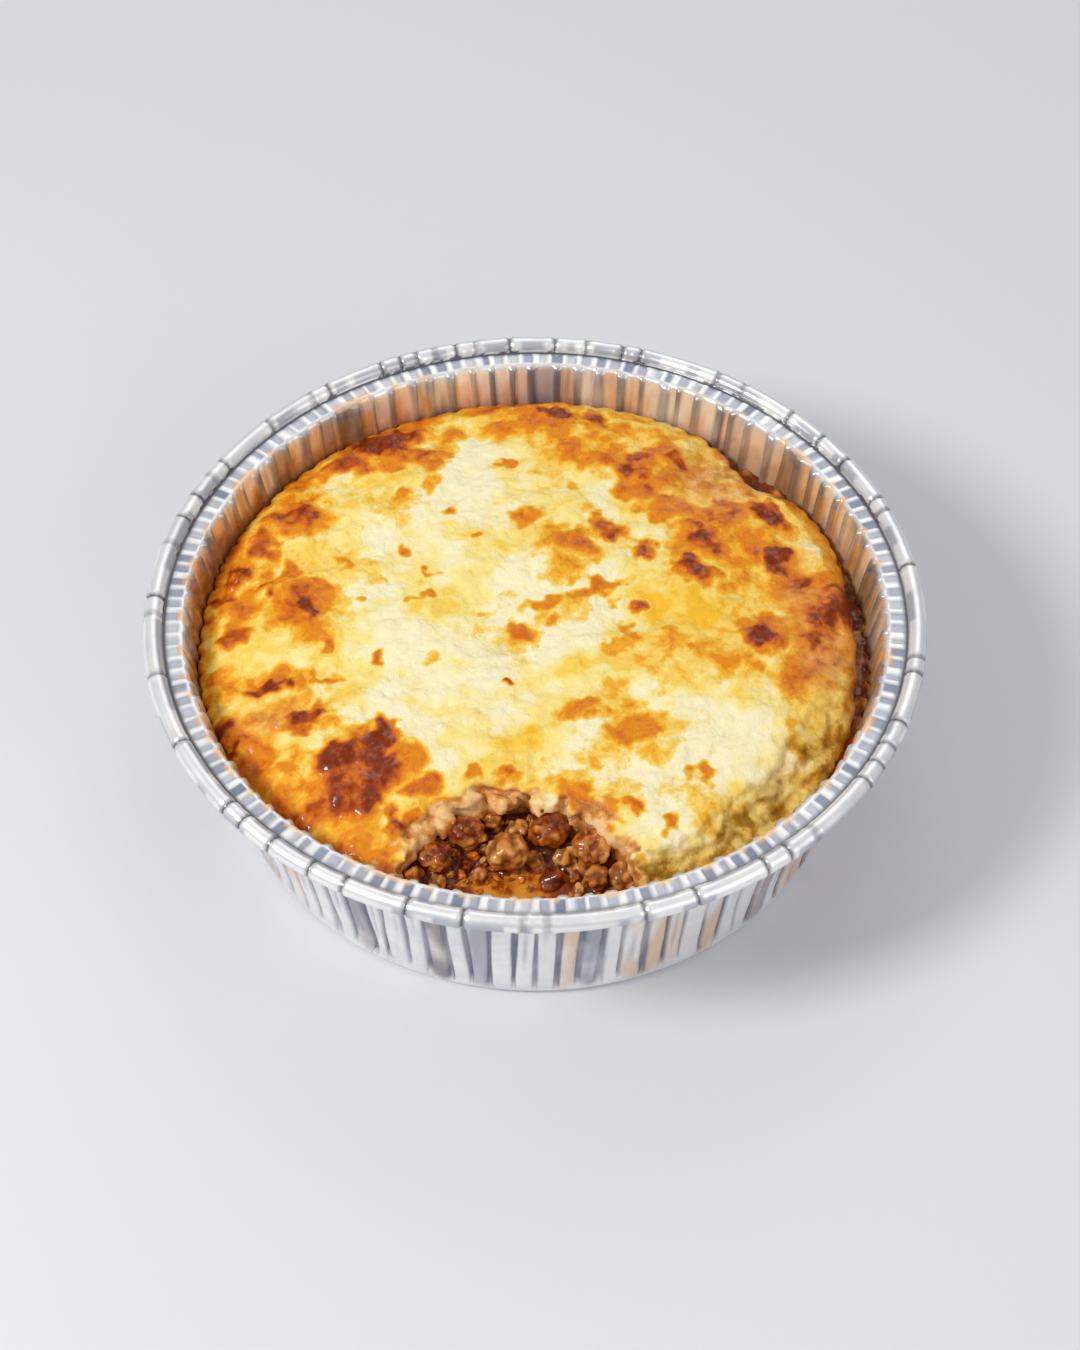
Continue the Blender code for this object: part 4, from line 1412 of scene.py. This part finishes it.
big_lumps = []
for number, (lump_low, lump_high) in enumerate(LUMP_BOXES, start=1):
    middle, half = (lump_low + lump_high) / 2, (lump_high - lump_low) / 2
    big_lumps.append((middle, half.max()))
    lump_points, lump_faces, lump_pit = knobbly_lump(200 + number, 190, 0.08, 0.2, 0.052)
    lump_points = lump_points * (1 + 0.16 * soft_noise(lump_points, 0.9, 220 + number))[:, None]
    placed = middle + lump_points / np.abs(lump_points).max(axis=0) * half * 1.06
    lump_roast = 0.55 + 0.35 * layered_noise(placed, 3.0, 210 + number)
    lump_roast += 0.16 * (number in (1, 3)) - 0.2 * (number in (2, 4)) - 0.1 * (number == 5)
    make_piece(
        f"knobbly_lump_{number}", placed, lump_faces, crumb_meat, "mince_lumps",
        [f"mince_lump_{number}"], roast=np.clip(lump_roast, 0, 1), pit=0.75 * lump_pit,
    )


# %% Laying small pieces on the core
POOL_MIDDLE = (3.0, -74.5)         # the open pool of gravy at the front of the hollow
POOL_HALF = (13.0, 6.5)
BY_THE_FOIL = 76.0                 # loose pieces stay inside this radius
TRIES = 40                         # places tried for each loose piece


def random_turn(chance):
    """A random rotation as a 3 by 3 array."""
    turned, _ = np.linalg.qr(chance.normal(size=(3, 3)))
    return turned * np.sign(np.linalg.det(turned))


def find_places(chance, count, smallest, largest, x_range, y_range, lift):
    """Middles and radii of pieces that lie on the core, clear of the lumps and of each other."""
    places = []
    for size in np.sort(smallest + (largest - smallest) * chance.random(count) ** 1.6)[::-1]:
        for _ in range(TRIES):
            x, y = chance.uniform(*x_range), chance.uniform(*y_range)
            pool_x, pool_y = (x - POOL_MIDDLE[0]) / POOL_HALF[0], (y - POOL_MIDDLE[1]) / POOL_HALF[1]
            too_far_out = hollow_reach(x, y) < size * 0.4 or math.hypot(x, y) + size > BY_THE_FOIL
            if too_far_out or math.hypot(pool_x, pool_y) < 1:
                continue
            here = np.array([x, y, float(core_height(np.array([x]), np.array([y]))[0]) + lift * size])
            others = places + big_lumps
            if not any(np.linalg.norm(here - spot) < 0.84 * (size + other) for spot, other in others):
                places.append((here, size))
                break
    return places


def join_pieces(places, kinds, chance, stretch):
    """One mesh of randomly turned copies of the kinds at the places, with a number for each copy."""
    parts, part_faces, part_depth, copy_number, offset = [], [], [], [], 0
    for number, (here, size) in enumerate(places):
        points, faces, depth = kinds[chance.integers(len(kinds))]
        shape = chance.uniform(*stretch, 3)
        parts.append(here + (points * shape * size) @ random_turn(chance))
        part_faces.append(faces + offset)
        part_depth.append(depth)
        copy_number.append(np.full(len(points), number))
        offset += len(points)
    return [np.concatenate(things) for things in (parts, part_faces, part_depth, copy_number)]


print("loose pieces stay within", BY_THE_FOIL, "mm of the middle")


# %% [markdown]
# ### Carrot
#
# A few small dice of carrot lie among the crumbs on the left. A bevelled cube would look cut
# from plastic, so each die is a field too: a rounded block, pushed about by noise, as
# carrot softens and wears in the gravy.

# %% Carrot dice
def carrot_die(seed, step=0.13):
    """Points and faces of a rounded block about 1 in half width, with an empty depth value."""
    spots = grid((-LUMP_REACH,) * 3, (LUMP_REACH,) * 3, step)
    power = 5.0
    field = 1.0 - (np.abs(spots * np.array([1.0, 1.25, 1.5])) ** power).sum(axis=-1) ** (1 / power)
    points, faces = skin(field + 0.12 * soft_noise(spots, 0.7, seed), np.full(3, -LUMP_REACH), step)
    return relax(points, faces, 1), faces, np.zeros(len(points))


def carrot_material():
    """Cooked carrot: orange, a little redder in patches, glossy with gravy."""
    material, tree, shader = new_material("cooked_carrot")
    streak = add_mottle(tree, 1.6, 41.0, 3.0)
    colour = add_mix(tree, streak, tone(206, 84, 12), tone(240, 140, 36))
    tree.links.new(colour, shader.inputs["Base Color"])
    tree.links.new(add_range(tree, streak, 0.0, 1.0, 0.29, 0.4), shader.inputs["Roughness"])
    set_inputs(shader, {
        "Coat Weight": 0.7,
        "Coat Roughness": 0.07,
        "Subsurface Weight": 0.15,
        "Subsurface Radius": (0.002, 0.0008, 0.0003),
        "Subsurface Scale": 1.0,
    })
    add_bump(tree, shader, streak, 0.25, 0.3)
    return material


carrot_chance = np.random.default_rng(71)
carrot_places = find_places(carrot_chance, 8, 1.1, 1.7, (-28, -2), (-71, -58), 0.3)
big_lumps += carrot_places
carrot_kinds = [carrot_die(330 + kind) for kind in range(4)]
carrot_points, carrot_faces, _, _ = join_pieces(carrot_places, carrot_kinds, carrot_chance, (0.8, 1.25))
make_piece("carrot_dice", carrot_points, carrot_faces, carrot_material(), "mince_lumps")


# %% Crumbs: copies laid over the core
crumb_chance = np.random.default_rng(31)
crumb_places = find_places(crumb_chance, 140, 1.1, 3.4, (-34, 26), (-76, -47), 0.35)
crumb_kinds = [knobbly_lump(300 + kind, 30, 0.16, 0.32, 0.15) for kind in range(8)]
crumb_points, crumb_faces, crumb_pit, crumb_number = join_pieces(
    crumb_places, crumb_kinds, crumb_chance, (0.75, 1.2)
)
crumb_tone = crumb_chance.uniform(0.2, 0.85, len(crumb_places))[crumb_number]
make_piece(
    "mince_crumbs", crumb_points, crumb_faces, crumb_meat, "mince_lumps",
    roast=crumb_tone, pit=0.7 * crumb_pit,
)


# %% [markdown]
# ## Gravy
#
# Gravy has run to the front of the hollow and lies there as a pool against the foil. A
# liquid is level, so the pool is a thin flat sheet that ends where it dips under the meat.
# Its own surface only swells a little, and it is by far the glossiest thing in the dish.

# %% Gravy pool
POOL_LEVEL = 31.2
pool_rim = foil_inside(POOL_LEVEL)
pool_rim = pool_rim[hollow_reach(pool_rim[:, 0], pool_rim[:, 1]) > -2.0]
pool_scale = 1.0 - np.linspace(0.0016, 0.3, 40)[:, None]
pool_x, pool_y = pool_scale * pool_rim[:, 0], pool_scale * pool_rim[:, 1]
pool_inside = hollow_reach(pool_x, pool_y) > 1.0
pool_z = POOL_LEVEL + 0.2 * layered_noise(flat(pool_x, pool_y), 5.0, 131)
pool_spots = np.stack([pool_x, pool_y, pool_z], axis=-1).reshape(-1, 3)
pool_index = np.arange(pool_x.size).reshape(pool_x.shape)
pool_corners = [(slice(None, -1), slice(None, -1)), (slice(1, None), slice(None, -1)),
                (slice(1, None), slice(1, None)), (slice(None, -1), slice(1, None))]
pool_quads = np.stack([pool_index[corner] for corner in pool_corners], axis=-1)
pool_whole = np.all([pool_inside[corner] for corner in pool_corners], axis=0)
pool_points, pool_faces = keep_used(pool_spots, pool_quads[pool_whole])
print("the pool of gravy has", len(pool_points), "points at", POOL_LEVEL, "mm")


# %% Gravy material
def gravy_material():
    """Thick glossy gravy, golden brown where it is shallow."""
    material, tree, shader = new_material("pan_gravy")
    colour = add_ramp(tree, add_mottle(tree, 6.0, 21.0, 3.4), (
        (0.2, tone(126, 52, 2)), (0.45, tone(164, 78, 6)), (0.52, tone(194, 106, 14)),
        (0.8, tone(218, 146, 42)),
    ))
    tree.links.new(colour, shader.inputs["Base Color"])
    set_inputs(shader, {"Roughness": 0.12, "Specular IOR Level": 0.16})
    add_bump(tree, shader, add_mottle(tree, 3.6, 23.0, 1.5), 0.8, 0.6)
    return material


pool = make_piece("gravy_pool", pool_points, pool_faces, gravy_material(), "minced_meat")
body = pool.modifiers.new("body", "SOLIDIFY")
body.thickness = 0.7 * MM
body.offset = -1.0


# %% [markdown]
# ## Floor and light
#
# The pie stands on a plain pale floor. A soft lamp high in front on the left gives the main
# light, so the left wall is in shade and the back and right walls are lit. A broad one behind
# is what the level parts of the foil mirror towards the viewer. A weaker one in front on the
# right keeps the shade open, under a pale sky.

# %% Floor
FLOOR_REACH = 3.0
floor_mesh = bpy.data.meshes.new("floor")
floor_corners = [(-FLOOR_REACH, -FLOOR_REACH, 0), (FLOOR_REACH, -FLOOR_REACH, 0),
                 (FLOOR_REACH, FLOOR_REACH, 0), (-FLOOR_REACH, FLOOR_REACH, 0)]
floor_mesh.from_pydata(floor_corners, [], [(0, 1, 2, 3)])
floor = bpy.data.objects.new("floor", floor_mesh)
bpy.context.collection.objects.link(floor)
floor_paint, _, floor_shader = new_material("pale_floor")
set_inputs(floor_shader, {"Base Color": tone(226, 228, 232), "Roughness": 0.7})
floor_mesh.materials.append(floor_paint)
floor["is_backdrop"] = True
print("the floor is", 2 * FLOOR_REACH, "m wide")


# %% Lamps and sky
def add_lamp(name, place, size, power, colour):
    """A square soft lamp that looks at the pie."""
    data = bpy.data.lights.new(name, "AREA")
    data.size = size
    data.energy = power
    data.color = colour
    lamp = bpy.data.objects.new(name, data)
    lamp.location = place
    lamp.rotation_euler = (Vector((0, 0, 0.04)) - lamp.location).to_track_quat("-Z", "Y").to_euler()
    bpy.context.collection.objects.link(lamp)


add_lamp("key", (-0.6, -0.32, 0.74), 0.24, 5.2, (1.0, 0.99, 0.96))
add_lamp("back", (0.12, 0.78, 0.78), 0.7, 1.6, (1.0, 1.0, 1.0))
add_lamp("fill", (0.7, -0.6, 0.5), 0.8, 2.6, (1.0, 0.99, 0.98))

SKY_STRENGTH = 0.6
sky = bpy.data.worlds.new("sky")
sky.use_nodes = True
sky_tree = sky.node_tree
sky_place = sky_tree.nodes.new("ShaderNodeTexCoord")
sky_split = sky_tree.nodes.new("ShaderNodeSeparateXYZ")
sky_tree.links.new(sky_place.outputs["Generated"], sky_split.inputs[0])
sky_colour = add_ramp(sky_tree, add_range(sky_tree, sky_split.outputs["Z"], -0.2, 1.0), (
    (0.0, (0.5, 0.5, 0.52, 1)),
    (0.45, (0.48, 0.49, 0.52, 1)),
    (0.8, (0.7, 0.71, 0.74, 1)),
    (1.0, (1.0, 1.0, 1.0, 1)),
))
background = sky_tree.nodes["Background"]
sky_tree.links.new(sky_colour, background.inputs["Color"])
background.inputs["Strength"].default_value = SKY_STRENGTH
bpy.context.scene.world = sky
bpy.context.scene.view_settings.view_transform = "Standard"


# %% [markdown]
# ## Outside size
#
# The outside boxes of the CAD model and of the fine model are printed in millimetres.

# %% Print both boxes and finish
view_low, view_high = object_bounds()
boxes = {
    "cad": [list(cad_low), list(cad_high)],
    "visual": [list(view_low), list(view_high)],
}
for box_name, box in boxes.items():
    print(box_name, [[round(value * 1000, 1) for value in corner] for corner in box])
